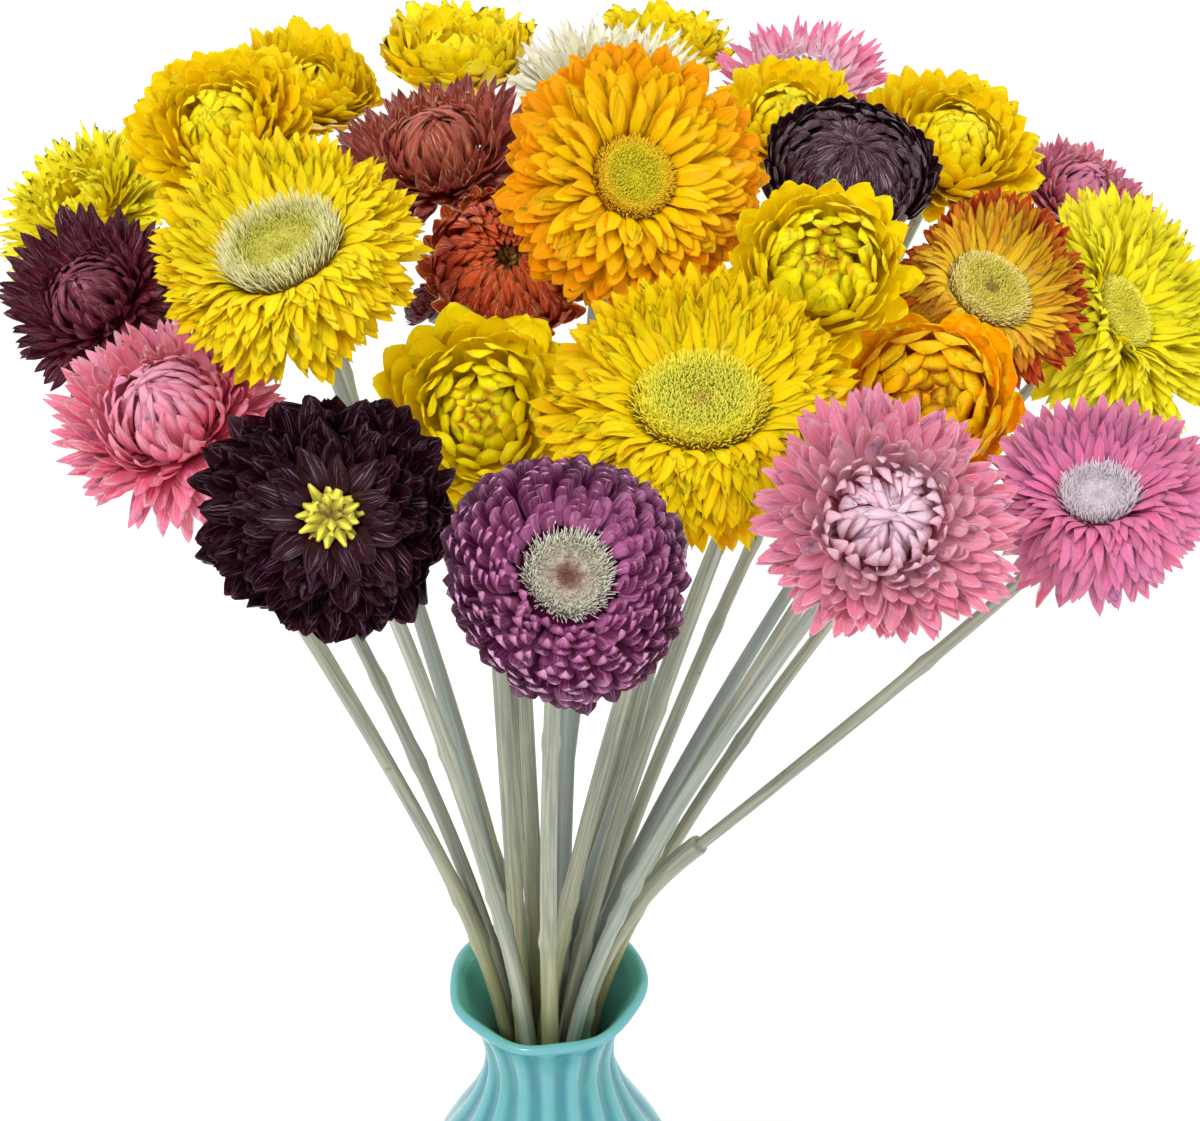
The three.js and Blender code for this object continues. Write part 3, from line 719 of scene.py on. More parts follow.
# The bracts: thin, dry and glossy like straw, finely lined lengthwise, with a paler or darker tip.
# Each is a thin blade that grows from the cone of pith; the outer crowns spread flat, and the
# inner ones stand up round the disc or close over it.
BRACT_INPUTS = [
    ("Bracts", "Int", 120), ("Seed", "Float", 0.0), ("Radius", "Float", 0.02),
    ("Foot out", "Vector", (0.4, 0.4, 0.4)), ("Foot up", "Vector", (0.0, 0.0, 0.0)),
    ("Tip out", "Vector", (1.0, 0.9, 0.6)), ("Tip up", "Vector", (0.0, 0.2, 0.3)),
    ("Bow", "Vector", (0.0, 0.0, 0.0)), ("Width", "Vector", (0.2, 0.2, 0.1)),
    ("Sway", "Vector", (0.1, 0.1, 0.1)), ("Bluntness", "Vector", (3.0, 3.0, 3.0)),
    ("Narrow foot", "Float", 0.4), ("Tip width", "Float", 0.03), ("Cup", "Float", 0.5),
    ("Hook", "Float", 0.0), ("Twist", "Float", 0.5), ("Ruffle", "Float", 0.2), ("Fray", "Float", 0.0),
    ("Longer", "Float", 0.2), ("Lift", "Float", 0.25), ("Thickness", "Float", 0.007),
]
# What chance changes on a bract, and the number of the draw that it comes from.
BRACT_DRAWS = dict(length=1, lift=2, bow=3, width=4, twist=5, sway=6, turn=7, waver=8, tone=9, ruffle=10)
NOT_STRAIGHT = 0.001


def many_of(shape, given, count):
    """Copies of one small shape with a number each, that number, and the parts of a point's place."""
    points = given.node("GeometryNodePoints", None, {"Count": count})
    points = stored(points, "number", given.node("GeometryNodeInputIndex"))
    grown = given.node("GeometryNodeInstanceOnPoints", None, {"Points": points, "Instance": shape})
    grown = grown.node("GeometryNodeRealizeInstances", None, {"Geometry": grown})
    spot = given.node("GeometryNodeInputPosition")
    return grown, recalled(given, "number"), [spot.part(axis) for axis in range(3)]


def crown_values(given, number, whorl, draws):
    """Two ways to a value for each bract or floret: by chance, and from an input by its crown."""
    shares = given.vector((1 - whorl) * (1 - whorl * 2), 4 * whorl * (1 - whorl), whorl * (whorl * 2 - 1))

    def chance(what):
        """From -0.5 to 0.5."""
        place = given.vector(number, given.other("Seed"), draws[what])
        return given.node("ShaderNodeTexWhiteNoise", {"noise_dimensions": "3D"}, {"Vector": place}) - 0.5

    def by_crown(label):
        """Between an input's values for the outermost, the middle and the innermost crown."""
        values = {0: given.other(label), 1: shares}
        return given.node("ShaderNodeVectorMath", {"operation": "DOT_PRODUCT"}, values, output=1)

    return chance, by_crown


def set_round(grown, given, angle, out, aside, up):
    """Moves the points of bracts or florets out from the head's axis, aside from there and up."""
    place = given.vector(out * angle.cos() - aside * angle.sin(), out * angle.sin() + aside * angle.cos(), up)
    values = {"Geometry": grown, "Position": place.scaled(given.other("Radius"))}
    return grown.node("GeometryNodeSetPosition", None, values)


def new_bract_tree():
    """Grows a head's bracts: thin blades set in a spiral, from the outermost crown to the innermost."""
    tree, given = new_tree("crowns of papery bracts", *BRACT_INPUTS)
    count = given.other("Bracts")
    values = {"Vertices": 6, "Side Segments": 7, "Radius": 1.0, "Depth": 1.0}
    blade = given.node("GeometryNodeMeshCylinder", {"fill_type": "NGON"}, values)
    grown, number, (across, face, level) = many_of(blade, given, count)
    along = 1 - given.maths("MAXIMUM", 0.5 - level, 0.0) ** 1.5
    whorl = number / (count - 1)
    chance, by_crown = crown_values(given, number, whorl, BRACT_DRAWS)
    kept = dict(along=along, across=across, face=face, whorl=whorl, chance=chance("tone"))
    for name, value in kept.items():
        grown = stored(grown, name, value)

    # The line from foot to tip, and how far along it and in which direction the bowed bract is.
    foot_out, foot_up = by_crown("Foot out"), by_crown("Foot up")
    run_out, run_up = by_crown("Tip out") - foot_out, by_crown("Tip up") - foot_up
    chord = (run_out * run_out + run_up * run_up) ** 0.5 * (1 + chance("length") * given.other("Longer"))
    rise = given.maths("ARCTAN2", run_up, run_out) + chance("lift") * given.other("Lift")
    bow = by_crown("Bow") * (math.pi / 180) * (1 + chance("bow") * 0.5) + NOT_STRAIGHT
    turned = bow * along + NOT_STRAIGHT
    uneven = {"Vector": given.vector(across, number, 0)}
    ragged = given.node("ShaderNodeTexWhiteNoise", {"noise_dimensions": "2D"}, uneven)
    torn = ragged * given.other("Fray") * along ** 6
    run = chord * bow / bow.sin() * along * turned.sin() / turned - torn
    heading, slope = rise + bow - turned, rise + bow - 2 * turned

    # Its outline: narrow at the foot, full in the middle, and pointed or blunt at the tip.
    narrow_foot = given.other("Narrow foot")
    fullness = narrow_foot + (1 - narrow_foot) * along.rising(0.0, 0.5)
    pointed = (1 - along ** by_crown("Bluntness")) ** 0.7
    narrowing = given.maths("MAXIMUM", pointed, given.other("Tip width"))
    half_width = by_crown("Width") * fullness * narrowing * (0.5 + chance("width") * 0.16)

    # How its face is cupped, hooked at the tip, ruffled along the edges, twisted and bent aside.
    side = across * half_width
    lifted = across * across * half_width * given.other("Cup") + given.other("Hook") * along ** 4
    ruffle = (along * 7 + chance("ruffle") * 12 + across).sin() * across.abs() * along
    lifted = lifted + ruffle * half_width * given.other("Ruffle")
    lifted = lifted + face * given.other("Thickness") * (1 - along * 0.5)
    twist = chance("twist") * given.other("Twist") * along
    waver = chance("waver") * (along * 6).sin() * 0.3
    bent = (chance("sway") * along * along + waver) * by_crown("Sway")
    aside = side * twist.cos() - lifted * twist.sin() + bent
    lifted = lifted * twist.cos() + side * twist.sin()

    out = foot_out + run * heading.cos() - lifted * slope.sin()
    up = foot_up + run * heading.sin() + lifted * slope.cos()
    grown = set_round(grown, given, number * GOLDEN_ANGLE + chance("turn") * 0.3, out, aside, up)
    ended(grown, given, sharp=given.maths("GREATER_THAN", recalled(given, "across").abs(), 0.9))
    return tree


# The colours of a bract: at its foot, over its face, at its tip, in the innermost crowns, along
# its edges, in the outermost crowns, of its shine, which tints the real shine and is also painted
# on in bright streaks as a painted highlight, and, on some, at the tips in the very middle (heart).
# The foot colour is lighter than the face on most palettes and more orange on the yellows, and is
# partly painted bounce light in the crevices where the feet lie.
PALETTES = {
    "bud": dict(slot="bract_yellow", foot=(255, 200, 0), face=(254, 222, 0), tip=(252, 218, 6),
                inner=(255, 230, 0), edge=(246, 196, 0), outer=(252, 214, 0), shine_and_painted_highlight=(255, 248, 90),
                heart=(176, 104, 12)),
    "lemon": dict(slot="bract_lemon", foot=(255, 206, 0), face=(246, 230, 6), tip=(242, 232, 36),
                  inner=(242, 226, 12), edge=(236, 200, 4), outer=(242, 214, 12), shine_and_painted_highlight=(250, 250, 120)),
    "yellow": dict(slot="bract_yellow", foot=(255, 188, 0), face=(248, 206, 0), tip=(246, 214, 8),
                   inner=(250, 218, 6), edge=(234, 172, 0), outer=(242, 186, 4), shine_and_painted_highlight=(252, 242, 80)),
    "fresh": dict(slot="bract_yellow", foot=(255, 200, 0), face=(248, 218, 2), tip=(246, 220, 14),
                  inner=(250, 224, 6), edge=(238, 186, 0), outer=(244, 204, 4), shine_and_painted_highlight=(252, 246, 90)),
    "sunny": dict(slot="bract_yellow", foot=(255, 178, 0), face=(248, 200, 0), tip=(246, 208, 6),
                  inner=(252, 214, 4), edge=(232, 164, 0), outer=(238, 162, 4), shine_and_painted_highlight=(252, 236, 60)),
    "gold": dict(slot="bract_gold", foot=(255, 188, 0), face=(250, 208, 0), tip=(248, 214, 8),
                 inner=(252, 220, 2), edge=(238, 176, 0), outer=(246, 194, 4), shine_and_painted_highlight=(254, 242, 80)),
    "amber": dict(slot="bract_amber", foot=(255, 176, 0), face=(254, 186, 0), tip=(244, 152, 4),
                  inner=(254, 204, 0), edge=(234, 134, 2), outer=(232, 134, 8), shine_and_painted_highlight=(254, 228, 60)),
    "flame": dict(slot="bract_flame", foot=(255, 214, 30), face=(246, 136, 12), tip=(140, 4, 16),
                  inner=(252, 206, 40), edge=(204, 54, 14), outer=(126, 4, 20), shine_and_painted_highlight=(250, 190, 80)),
    "orange": dict(slot="bract_orange", foot=(255, 164, 0), face=(255, 180, 0), tip=(254, 194, 8),
                   inner=(255, 186, 2), edge=(244, 146, 0), outer=(246, 160, 4), shine_and_painted_highlight=(255, 226, 70),
                   heart=(150, 70, 8)),
    "rust": dict(slot="bract_rust", foot=(232, 84, 36), face=(220, 66, 30), tip=(150, 30, 26),
                 inner=(232, 88, 34), edge=(136, 22, 24), outer=(204, 108, 76), shine_and_painted_highlight=(255, 214, 150)),
    "bronze": dict(slot="bract_copper", foot=(206, 96, 66), face=(190, 74, 62), tip=(104, 24, 42),
                   inner=(196, 92, 70), edge=(104, 24, 42), outer=(118, 50, 58), shine_and_painted_highlight=(255, 216, 176)),
    "burgundy": dict(slot="bract_burgundy", foot=(124, 26, 46), face=(122, 26, 46), tip=(52, 8, 22),
                     inner=(128, 44, 66), edge=(54, 8, 24), outer=(84, 20, 34), shine_and_painted_highlight=(232, 180, 196)),
    "black": dict(slot="bract_black", foot=(48, 8, 22), face=(42, 6, 20), tip=(34, 6, 18),
                  inner=(46, 10, 24), edge=(34, 6, 18), outer=(58, 12, 26), shine_and_painted_highlight=(176, 146, 170)),
    "dome": dict(slot="bract_black", foot=(96, 30, 42), face=(98, 32, 42), tip=(34, 8, 18),
                 inner=(62, 20, 32), edge=(34, 8, 18), outer=(92, 38, 42), shine_and_painted_highlight=(206, 180, 204)),
    "magenta": dict(slot="bract_magenta", foot=(112, 22, 78), face=(160, 46, 120), tip=(238, 170, 216),
                    inner=(232, 136, 198), edge=(66, 6, 46), outer=(40, 4, 26), shine_and_painted_highlight=(255, 230, 248)),
    "rose": dict(slot="bract_rose", foot=(238, 112, 158), face=(226, 116, 160), tip=(218, 130, 170),
                 inner=(224, 118, 162), edge=(200, 90, 136), outer=(212, 112, 156), shine_and_painted_highlight=(244, 196, 218)),
    "salmon": dict(slot="bract_salmon", foot=(248, 96, 128), face=(246, 112, 144), tip=(244, 146, 178),
                   inner=(250, 150, 172), edge=(218, 82, 120), outer=(238, 156, 196), shine_and_painted_highlight=(255, 232, 246)),
    "pink": dict(slot="bract_pink", foot=(248, 148, 158), face=(238, 148, 170), tip=(232, 140, 172),
                 inner=(252, 214, 226), edge=(212, 106, 142), outer=(226, 132, 164), shine_and_painted_highlight=(255, 242, 250)),
    "frosted": dict(slot="bract_pink", foot=(252, 226, 234), face=(242, 140, 172), tip=(228, 108, 158),
                    inner=(254, 238, 244), edge=(216, 92, 142), outer=(230, 122, 162), shine_and_painted_highlight=(255, 248, 252)),
    "mauve": dict(slot="bract_mauve", foot=(216, 124, 150), face=(212, 122, 152), tip=(200, 104, 140),
                  inner=(208, 126, 154), edge=(182, 86, 120), outer=(200, 112, 142), shine_and_painted_highlight=(236, 194, 210)),
    "cream": dict(slot="bract_cream", foot=(232, 222, 170), face=(244, 238, 210), tip=(246, 242, 226),
                  inner=(238, 230, 192), edge=(222, 212, 170), outer=(232, 224, 190), shine_and_painted_highlight=(252, 250, 240)),
}
# The shares of the way from foot to tip over which the tip's colour comes in.
TIP = (0.5, 0.94)
FLAME_TIP = (0.2, 0.75)
# Dark bracts let less light through than straw-coloured ones, and their shine has no tint.
DARK = ("burgundy", "black", "dome", "magenta")
DARK_GLOW = 0.1
STRAW_GLOW = 0.7
WHITE = (1, 1, 1, 1)
# How strong the painted highlight is, bright lengthwise streaks of the shine colour, on the palettes
# whose real bracts show their highlights plainly.
PAINTED_HIGHLIGHT_STREAKS = {"rust": 0.85, "bronze": 0.85, "burgundy": 0.7, "dome": 0.7, "black": 0.55,
            "magenta": 0.85, "pink": 0.7, "salmon": 0.8}
LINES_ACROSS = 3.4
LINES_ALONG = 0.5
BRACT_RELIEF = 0.0003


def bract_finish(name, palette):
    """Straw-like and satin: fine lengthwise lines with painted highlight streaks on them, each bract a little
    lighter or darker.
    """
    tint = {part: hue(*colour) for part, colour in palette.items() if part != "slot"}
    dark = name in DARK
    material, start, shader = new_finish(
        "bracts " + name, Coat_Roughness=0.24, Specular_IOR_Level=0.12 if dark else 0.3,
        Specular_Tint=WHITE if dark else tint["shine_and_painted_highlight"], Subsurface_Weight=DARK_GLOW if dark else STRAW_GLOW,
        Subsurface_Radius=(1, 0.8, 0.5), Subsurface_Scale=0.0005,
    )
    along, across = start.attribute("along"), start.attribute("across")
    whorl, chance, face = start.attribute("whorl"), start.attribute("chance"), start.attribute("face")
    lined = start.noise(start.vector(across * LINES_ACROSS, along * LINES_ALONG, chance * 90), 2.2, 4, 0.7)
    # The foot colour is partly the bract's own and partly painted light: on most palettes it is lighter than
    # the face, and on the yellows more orange, to stand in for light bounced around the crevices where the
    # feet lie.
    colour = along.rising(0.05, 0.5).mixed(tint["foot"], tint["face"])
    tip = along.rising(*(FLAME_TIP if name == "flame" else TIP))
    colour = tip.mixed(colour, tint["tip"])
    colour = (whorl.rising(0.35, 0.85) * 0.85).mixed(colour, tint["inner"])
    behind = (0 - face).rising(0.1, 0.6)
    outermost = (1 - whorl.rising(0.04, 0.34)) * (0.45 + behind * 0.45)
    colour = outermost.mixed(colour, tint["outer"])
    colour = (across.abs().rising(0.5, 1.0) * along * 0.7).mixed(colour, tint["edge"])
    colour = (chance.rising(0.0, 0.5) * 0.45).mixed(colour, tint["edge"])
    colour = (lined.rising(0.5, 0.66) * 0.5).mixed(colour, tint["edge"])
    # Painted highlight: bright streaks of the shine colour along the fine lines, over the middle of each
    # bract, stand in for where its satin catches the light.
    streak = (1 - lined).rising(0.54, 0.62) * along.rising(0.2, 0.6) * (1 - across.abs() * 0.7)
    strength = PAINTED_HIGHLIGHT_STREAKS[name] if name in PAINTED_HIGHLIGHT_STREAKS else 0.2 + whorl * 0.4
    colour = (streak * strength).mixed(colour, tint["shine_and_painted_highlight"])
    if "heart" in tint:
        middle = along.rising(0.84, 0.98) * whorl.rising(0.7, 0.85)
        colour = middle.mixed(colour, tint["heart"])
    feed(shader, "Base Color", colour.lit(1 + chance * 0.22 + (lined - 0.5) * 0.2))
    satin = along.rising(0.02, 0.1)
    feed(shader, "Roughness", (0.2 if dark else 0.3) + lined * 0.2 + (1 - satin) * 0.5)
    feed(shader, "Coat Weight", satin * (0.14 if dark else 0.06))
    bumped(shader, lined, BRACT_RELIEF, 0.8)
    return material


BRACTS = {name: bract_finish(name, palette) for name, palette in PALETTES.items()}
STRAP = dict(bluntness=(3.2, 3.0, 2.8), narrow_foot=0.5, cup=0.2, hook=0.0, twist=0.5, ruffle=0.3,
             sway=(0.12, 0.12, 0.12), fray=0.04, longer=0.22, lift=0.16)
WISPY = dict(bluntness=(3.4, 2.8, 2.4), narrow_foot=0.5, cup=0.2, hook=0.02, twist=0.8, ruffle=0.3,
             sway=(0.14, 0.18, 0.26), fray=0.06, longer=0.28, lift=0.2)
BROAD = dict(bluntness=(6.0, 5.6, 4.6), tip_width=0.14, narrow_foot=0.55, cup=0.22, hook=0.02, twist=0.35,
             ruffle=0.3, sway=(0.1, 0.1, 0.1), fray=0.03, longer=0.16, lift=0.14)
SNUG = dict(bluntness=(5.0, 4.6, 4.0), tip_width=0.1, narrow_foot=0.6, cup=0.18, hook=0.0, twist=0.14,
            ruffle=0.1, sway=(0.06, 0.05, 0.05), fray=0.02, longer=0.1, lift=0.06)
TORN = dict(bluntness=(6.0, 6.0, 5.0), tip_width=0.4, narrow_foot=0.5, cup=0.2, hook=0.0, twist=0.5,
            ruffle=0.4, sway=(0.16, 0.16, 0.16), fray=0.14, longer=0.26, lift=0.2)
CURLED = dict(bluntness=(5.0, 4.6, 3.4), tip_width=0.12, narrow_foot=0.5, cup=0.34, hook=0.12, twist=1.2,
              ruffle=0.6, sway=(0.16, 0.14, 0.1), fray=0.03, longer=0.26, lift=0.24)
# The small scales that cover the back of a head, under the bracts.
SCALES = dict(bracts=34, foot_out=(0.06, 0.16, 0.3), foot_up=(-0.4, -0.38, -0.3), tip_out=(0.3, 0.42, 0.6),
              tip_up=(-0.38, -0.3, -0.18), bow=(-14, -14, -10), width=(0.12, 0.16, 0.2), **BROAD)


def look(palette, bracts, width, manner, nod=(0, 0), **changes):
    """How a head's bracts look: their colours, how many, how wide by crown, their manner, how far the
    middle of the head nods to the right and up, and what differs from the head's form."""
    return {"palette": palette, "nod": nod, "sizes": dict(bracts=bracts, width=width, **manner, **changes)}


LOOKS = {
    "yellow_far_left": look("lemon", 240, (0.16, 0.14, 0.1), TORN),
    "burgundy_left": look("burgundy", 300, (0.2, 0.18, 0.13), STRAP, nod=(-16, 10)),
    "golden_left": look("gold", 180, (0.34, 0.3, 0.2), BROAD),
    "golden_back_left": look("gold", 130, (0.36, 0.34, 0.26), BROAD),
    "yellow_disc_left": look("yellow", 520, (0.2, 0.17, 0.11), WISPY, nod=(-12, 18)),
    "yellow_back": look("fresh", 100, (0.46, 0.42, 0.3), TORN),
    "cream_back": look("cream", 300, (0.14, 0.12, 0.08), WISPY),
    "yellow_tip_back": look("fresh", 100, (0.46, 0.42, 0.3), TORN),
    "pink_back": look("frosted", 280, (0.15, 0.13, 0.09), WISPY),
    "bronze_left": look("bronze", 300, (0.2, 0.16, 0.1), STRAP),
    "amber_disc_top": look("amber", 320, (0.26, 0.2, 0.1), BROAD, nod=(8, 4)),
    "golden_behind": look("gold", 130, (0.32, 0.28, 0.2), BROAD),
    "dark_dome": look("dome", 250, (0.34, 0.3, 0.16), SNUG, tip_up=(0.1, 0.42, 0.42)),
    "golden_back_right": look("gold", 180, (0.32, 0.28, 0.2), BROAD),
    "mauve_back_right": look("mauve", 200, (0.24, 0.22, 0.16), STRAP),
    "rust_centre": look("rust", 260, (0.22, 0.2, 0.13), SNUG),
    "yellow_bud_right": look("bud", 120, (0.42, 0.36, 0.24), BROAD, foot_out=(0.34, 0.4, 0.26),
                             tip_out=(1.16, 0.62, -0.04), tip_up=(0.0, 0.5, 0.52), bow=(-10, -50, -46)),
    "flame_disc_right": look("flame", 480, (0.2, 0.16, 0.1), STRAP, nod=(20, 22)),
    "lemon_far_right": look("lemon", 460, (0.18, 0.15, 0.1), WISPY, nod=(26, 4)),
    "pink_left": look("salmon", 300, (0.2, 0.18, 0.14), STRAP, tip_up=(-0.12, 0.36, 0.56), nod=(-8, 10)),
    "black_front": look("black", 190, (0.34, 0.3, 0.22), CURLED, foot_out=(0.36, 0.34, 0.16),
                        tip_out=(1.08, 0.94, 0.56), tip_up=(0.0, 0.22, 0.24), bow=(-6, -4, 16)),
    "yellow_front_left": look("bud", 120, (0.5, 0.38, 0.24), BROAD, foot_out=(0.34, 0.4, 0.26),
                              tip_out=(1.16, 0.7, -0.04), tip_up=(-0.02, 0.4, 0.44), bow=(-6, -44, -46),
                              nod=(-10, -8)),
    "yellow_disc_centre": look("sunny", 560, (0.22, 0.18, 0.1), WISPY, nod=(0, 22)),
    "orange_front_right": look("orange", 64, (0.62, 0.56, 0.36), BROAD, foot_out=(0.42, 0.46, 0.28),
                               tip_out=(1.06, 0.56, 0.0), tip_up=(0.04, 0.46, 0.44), bow=(-16, -56, -50)),
    "magenta_front": look("magenta", 370, (0.22, 0.17, 0.12), SNUG, nod=(4, 8)),
    "pink_front_right": look("pink", 320, (0.22, 0.18, 0.13), STRAP),
    "rose_far_right": look("rose", 300, (0.22, 0.18, 0.11), STRAP, nod=(-6, 26)),
    "golden_inner": look("gold", 90, (0.32, 0.28, 0.2), BROAD),
    "burgundy_bud": look("burgundy", 50, (0.4, 0.36, 0.28), SNUG),
}
PITH_COLUMNS = 24
PITH_BACK = [(0.14, -SEAT_DEPTH), (0.32, -0.3)]
PITH_INSET = 0.04
# Petals bend back later than the head's solid form does, and may pass a plane by a millimetre.
PETAL_CLEAR = -1.0
PETAL_REACH = 4.5
RIM_UNEVEN = 0.035
# In radii of the head: within the first all of it nods, and beyond the second nothing does.
NODS_FROM_TO = (0.5, 1.05)


def turned_body(name, outline):
    """A closed round body from its outline: how far out from the Z axis and how high."""
    angles = np.linspace(0, 2 * math.pi, PITH_COLUMNS, endpoint=False)
    return turned_mesh(name, *np.broadcast_arrays(outline[:, :1], outline[:, 1:], angles))


def crown_sizes(sizes, radius, seed):
    """A tree's inputs from a row of sizes."""
    named = {key.replace("_", " ").capitalize(): value for key, value in sizes.items()}
    return {**named, "Radius": radius * MM, "Seed": float(seed)}


def stood_on(mesh, head, nod, bends=True):
    """Moves a mesh made about the Z axis to the head's place, its middle nodding further than its
    rim and its rim a little uneven, and bends it clear of the head's neighbours."""
    spots = np.empty(len(mesh.vertices) * 3, np.float32)
    mesh.vertices.foreach_get("co", spots)
    spots = spots.reshape(-1, 3) / MM
    distance = np.hypot(spots[:, 0], spots[:, 1]) / head["radius"]
    angle = np.arctan2(spots[:, 1], spots[:, 0])
    right, ahead, above = head["at"]
    uneven = np.sin(2 * angle + head["radius"] + right) + np.sin(3 * angle + ahead)
    spots[:, :2] *= (1 + RIM_UNEVEN * uneven * distance)[:, None]
    spots[:, 2] += RIM_UNEVEN * head["radius"] * np.sin(2 * angle + above) * distance ** 2
    share = 1 - smooth_step(*NODS_FROM_TO, distance)
    for axis, nodded in enumerate(np.radians(nod)):
        turn = nodded * share
        level, height = spots[:, axis].copy(), spots[:, 2].copy()
        spots[:, axis] = level * np.cos(turn) + height * np.sin(turn)
        spots[:, 2] = height * np.cos(turn) - level * np.sin(turn)
    moved = on_head(spots, head)
    if bends:
        moved = bent_clear(moved, head, PETAL_CLEAR, PETAL_REACH)
    mesh.vertices.foreach_set("co", (moved * MM).ravel())
    mesh.update()


bract_tree = new_bract_tree()
for order, (name, head) in enumerate(HEADS.items()):
    form, dressed, radius = FORMS[head["form"]], LOOKS[name], head["radius"]
    feet = np.array([form["foot_out"], form["foot_up"]]).T - (PITH_INSET, 0)
    cone = np.array([*PITH_BACK, *feet, (feet[2][0] / 2, form["top"])]) * radius * MM
    pith = turned_body("pith_" + name, cone)
    sizes = {**form, **dressed["sizes"]}
    steps = [
        (bract_tree, crown_sizes(SCALES, radius, order + 0.5)),
        (bract_tree, crown_sizes(sizes, radius, order)),
    ]
    mesh = growth("bracts_" + name, pith, BRACTS[dressed["palette"]], steps)
    stood_on(mesh, head, dressed["nod"])
    placed("head_" + name, mesh, [name], PALETTES[dressed["palette"]]["slot"])

# The discs: in the middle of an open head sit tiny dry florets, thousands of them or about twenty
# in a small eye. Most are raised in a ring round a sunken middle.
FLORET_INPUTS = [
    ("Florets", "Int", 200), ("Seed", "Float", 0.0), ("Radius", "Float", 0.008), ("Base", "Float", 0.0),
    ("Cushion", "Vector", (0.1, 0.16, 0.1)), ("Length", "Vector", (0.1, 0.14, 0.24)),
    ("Lean", "Vector", (0.0, 10.0, 34.0)), ("Girth", "Float", 0.05),
]
FLORET_DRAWS = dict(lean=1, length=2, aside=3, tone=9)


def new_floret_tree():
    """Grows a disc's florets: small spikes set in a spiral, from the middle out."""
    tree, given = new_tree("florets of a disc", *FLORET_INPUTS)
    count, girth = given.other("Florets"), given.other("Girth")
    values = {"Vertices": 4, "Radius Top": 0.3, "Radius Bottom": 1.0, "Depth": 1.0}
    spike = given.node("GeometryNodeMeshCone", {"fill_type": "NGON"}, values)
    grown, number, (wide, deep, along) = many_of(spike, given, count)
    whorl = ((number + 0.5) / count) ** 0.5
    chance, by_crown = crown_values(given, number, whorl, FLORET_DRAWS)
    for name, value in dict(along=along, whorl=whorl, chance=chance("tone")).items():
        grown = stored(grown, name, value)
    lean = (by_crown("Lean") + chance("lean") * 40) * (math.pi / 180)
    length = by_crown("Length") * (1 + chance("length") * 0.8) * along
    out = whorl * 0.96 + length * lean.sin() + deep * girth
    up = by_crown("Cushion") - whorl ** 12 * 0.24 + length * lean.cos() + given.other("Base")
    aside = 0 - (wide * girth + chance("aside") * 0.12 * along)
    ended(set_round(grown, given, number * GOLDEN_ANGLE, out, aside, up), given)
    return tree


def disc_finish(name, spot, middle, field, ring, fleck):
    """Florets coloured from the spot in the middle out to the ring, with a darker one here and there."""
    material, start, shader = new_finish("florets " + name, Roughness=0.8)
    whorl, along, chance = start.attribute("whorl"), start.attribute("along"), start.attribute("chance")
    uneven = whorl + (start.noise(start.objects(), 900, 3) - 0.5) * 0.6 + chance * 0.16
    colour = uneven.rising(spot - 0.25, spot + 0.2).mixed(hue(*middle), hue(*field))
    colour = uneven.rising(0.62, 0.95).mixed(colour, hue(*ring))
    colour = (chance.rising(0.3, 0.42) * 0.5).mixed(colour, hue(*fleck))
    feed(shader, "Base Color", colour.lit(0.94 + along * 0.16 + chance * 0.4))
    return material


BRISTLY = dict(florets=3000, cushion=(0.0, 0.04, 0.14), length=(0.12, 0.12, 0.4), lean=(0.0, -10.0, 20.0),
               girth=0.02)
FELTED = dict(florets=2400, cushion=(0.0, 0.1, 0.12), length=(0.07, 0.08, 0.18), lean=(0.0, 0.0, 40.0),
              girth=0.026)
STARRY = dict(florets=22, cushion=(0.14, 0.16, 0.1), length=(0.2, 0.5, 0.6), lean=(60.0, 78.0, 88.0),
              girth=0.26)
DISCS = {
    "yellow_disc_left": dict(spot=0.0, middle=(186, 178, 56), field=(196, 190, 78), ring=(216, 212, 160),
                             fleck=(120, 112, 64), slot="disc_pale", manner=BRISTLY),
    "amber_disc_top": dict(spot=0.0, middle=(214, 206, 28), field=(216, 202, 22), ring=(230, 192, 18),
                           fleck=(170, 136, 16), slot="disc_yellow", manner=FELTED),
    "rust_centre": dict(spot=0.3, middle=(140, 84, 40), field=(206, 160, 70), ring=(190, 130, 60),
                        fleck=(130, 70, 40), slot="disc_yellow", manner=STARRY),
    "flame_disc_right": dict(spot=0.14, middle=(84, 50, 40), field=(210, 196, 80), ring=(226, 214, 130),
                             fleck=(110, 96, 40), slot="disc_yellow", manner=FELTED),
    "lemon_far_right": dict(spot=0.15, middle=(180, 170, 50), field=(216, 206, 60), ring=(232, 226, 90),
                            fleck=(150, 140, 40), slot="disc_yellow", manner=FELTED),
    "black_front": dict(spot=0.25, middle=(130, 96, 46), field=(226, 214, 70), ring=(236, 226, 84),
                        fleck=(180, 160, 50), slot="disc_yellow", manner=STARRY),
    "yellow_disc_centre": dict(spot=0.08, middle=(176, 126, 56), field=(210, 206, 66), ring=(230, 216, 44),
                               fleck=(160, 150, 50), slot="disc_yellow", manner=FELTED),
    "magenta_front": dict(spot=0.42, middle=(130, 92, 78), field=(206, 198, 180), ring=(228, 230, 214),
                          fleck=(104, 78, 66), slot="disc_pale", manner=BRISTLY),
    "rose_far_right": dict(spot=0.0, middle=(196, 186, 190), field=(210, 202, 208), ring=(222, 214, 220),
                           fleck=(150, 120, 130), slot="disc_pale", manner=BRISTLY),
}
DISC_CUSHION = np.array([(0.86, -0.2), (0.92, 0.06), (0.78, 0.16), (0.45, 0.1), (0.1, 0.04)])
floret_tree = new_floret_tree()
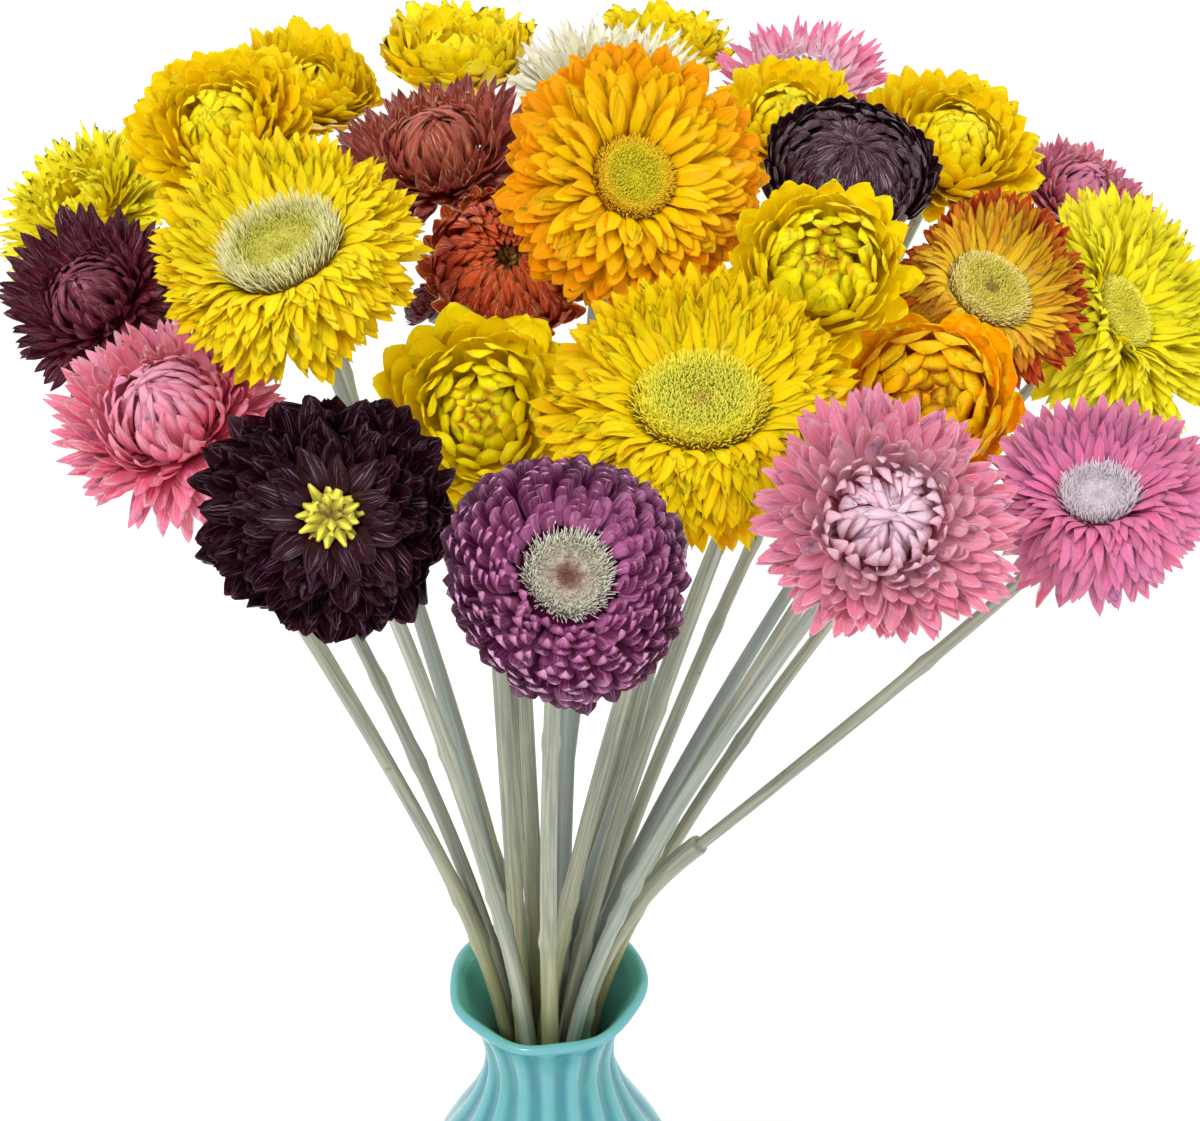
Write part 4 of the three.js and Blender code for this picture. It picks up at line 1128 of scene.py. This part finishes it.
for order, (name, disc) in enumerate(DISCS.items()):
    head = HEADS[name]
    radius = head["radius"] * head["disc"]
    seat = FORMS[head["form"]]["top"] * head["radius"] + SEAT_GAP
    cushion = turned_body("cushion_" + name, (DISC_CUSHION * radius + (0, seat)) * MM)
    remember(cushion, "whorl", [*np.repeat(DISC_CUSHION[:, 0], PITH_COLUMNS), 0, 0])
    colours = {key: disc[key] for key in ("spot", "middle", "field", "ring", "fleck")}
    inputs = {**crown_sizes(disc["manner"], radius, order), "Base": seat / radius}
    mesh = growth("florets_" + name, cushion, disc_finish(name, **colours), [(floret_tree, inputs)])
    stood_on(mesh, head, LOOKS[name]["nod"], bends=False)
    placed("disc_" + name, mesh, [name + "_disc"], disc["slot"])

# The stage: a plain pale floor and soft light all round, with a small bright lamp at the upper
# left and a wider, weaker one at the right. The camera stands at the photograph's angle.
FLOOR_HALF = 6.0
STUDIO_LIGHT = 1.12
AIM = (0, 0, 0.33)
LENS = 51.0
SENSOR = 36.0
CAMERA_AT = (0.0136, -0.3318, 0.4723)
PITCH = 30
NEAREST = 0.01
FARTHEST = 50
floor_mesh = bpy.data.meshes.new("floor")
corners = [(x * FLOOR_HALF, y * FLOOR_HALF, 0) for x, y in ((-1, -1), (1, -1), (1, 1), (-1, 1))]
floor_mesh.from_pydata(corners, [], [(0, 1, 2, 3)])
floor_mesh.materials.append(new_finish("pale floor", Base_Color=(0.93, 0.93, 0.93, 1), Roughness=0.9)[0])
floor = bpy.data.objects.new("floor", floor_mesh)
scene.collection.objects.link(floor)

world = bpy.data.worlds.new("studio")
world.use_nodes = True
world.node_tree.nodes["Background"].inputs["Color"].default_value = WHITE
world.node_tree.nodes["Background"].inputs["Strength"].default_value = STUDIO_LIGHT
scene.world = world


def soft_light(name, place, size, power):
    light = bpy.data.lights.new(name, "AREA")
    light.shape, light.size, light.energy = "DISK", size, power
    lamp = bpy.data.objects.new(name, light)
    lamp.location = place
    lamp.rotation_euler = (Vector(AIM) - Vector(place)).to_track_quat("-Z", "Y").to_euler()
    scene.collection.objects.link(lamp)


soft_light("key", place=(-0.7, -0.9, 1.5), size=0.22, power=11)
soft_light("fill", place=(1.0, -0.7, 1.0), size=0.8, power=3)

camera_data = bpy.data.cameras.new("camera")
camera_data.lens, camera_data.sensor_width, camera_data.sensor_fit = LENS, SENSOR, "HORIZONTAL"
camera_data.clip_start, camera_data.clip_end = NEAREST, FARTHEST
camera = bpy.data.objects.new("camera", camera_data)
camera.location = CAMERA_AT
camera.rotation_euler = (math.radians(90 - PITCH), 0, 0)
scene.collection.objects.link(camera)
scene.camera = camera
scene.view_settings.view_transform = "Standard"
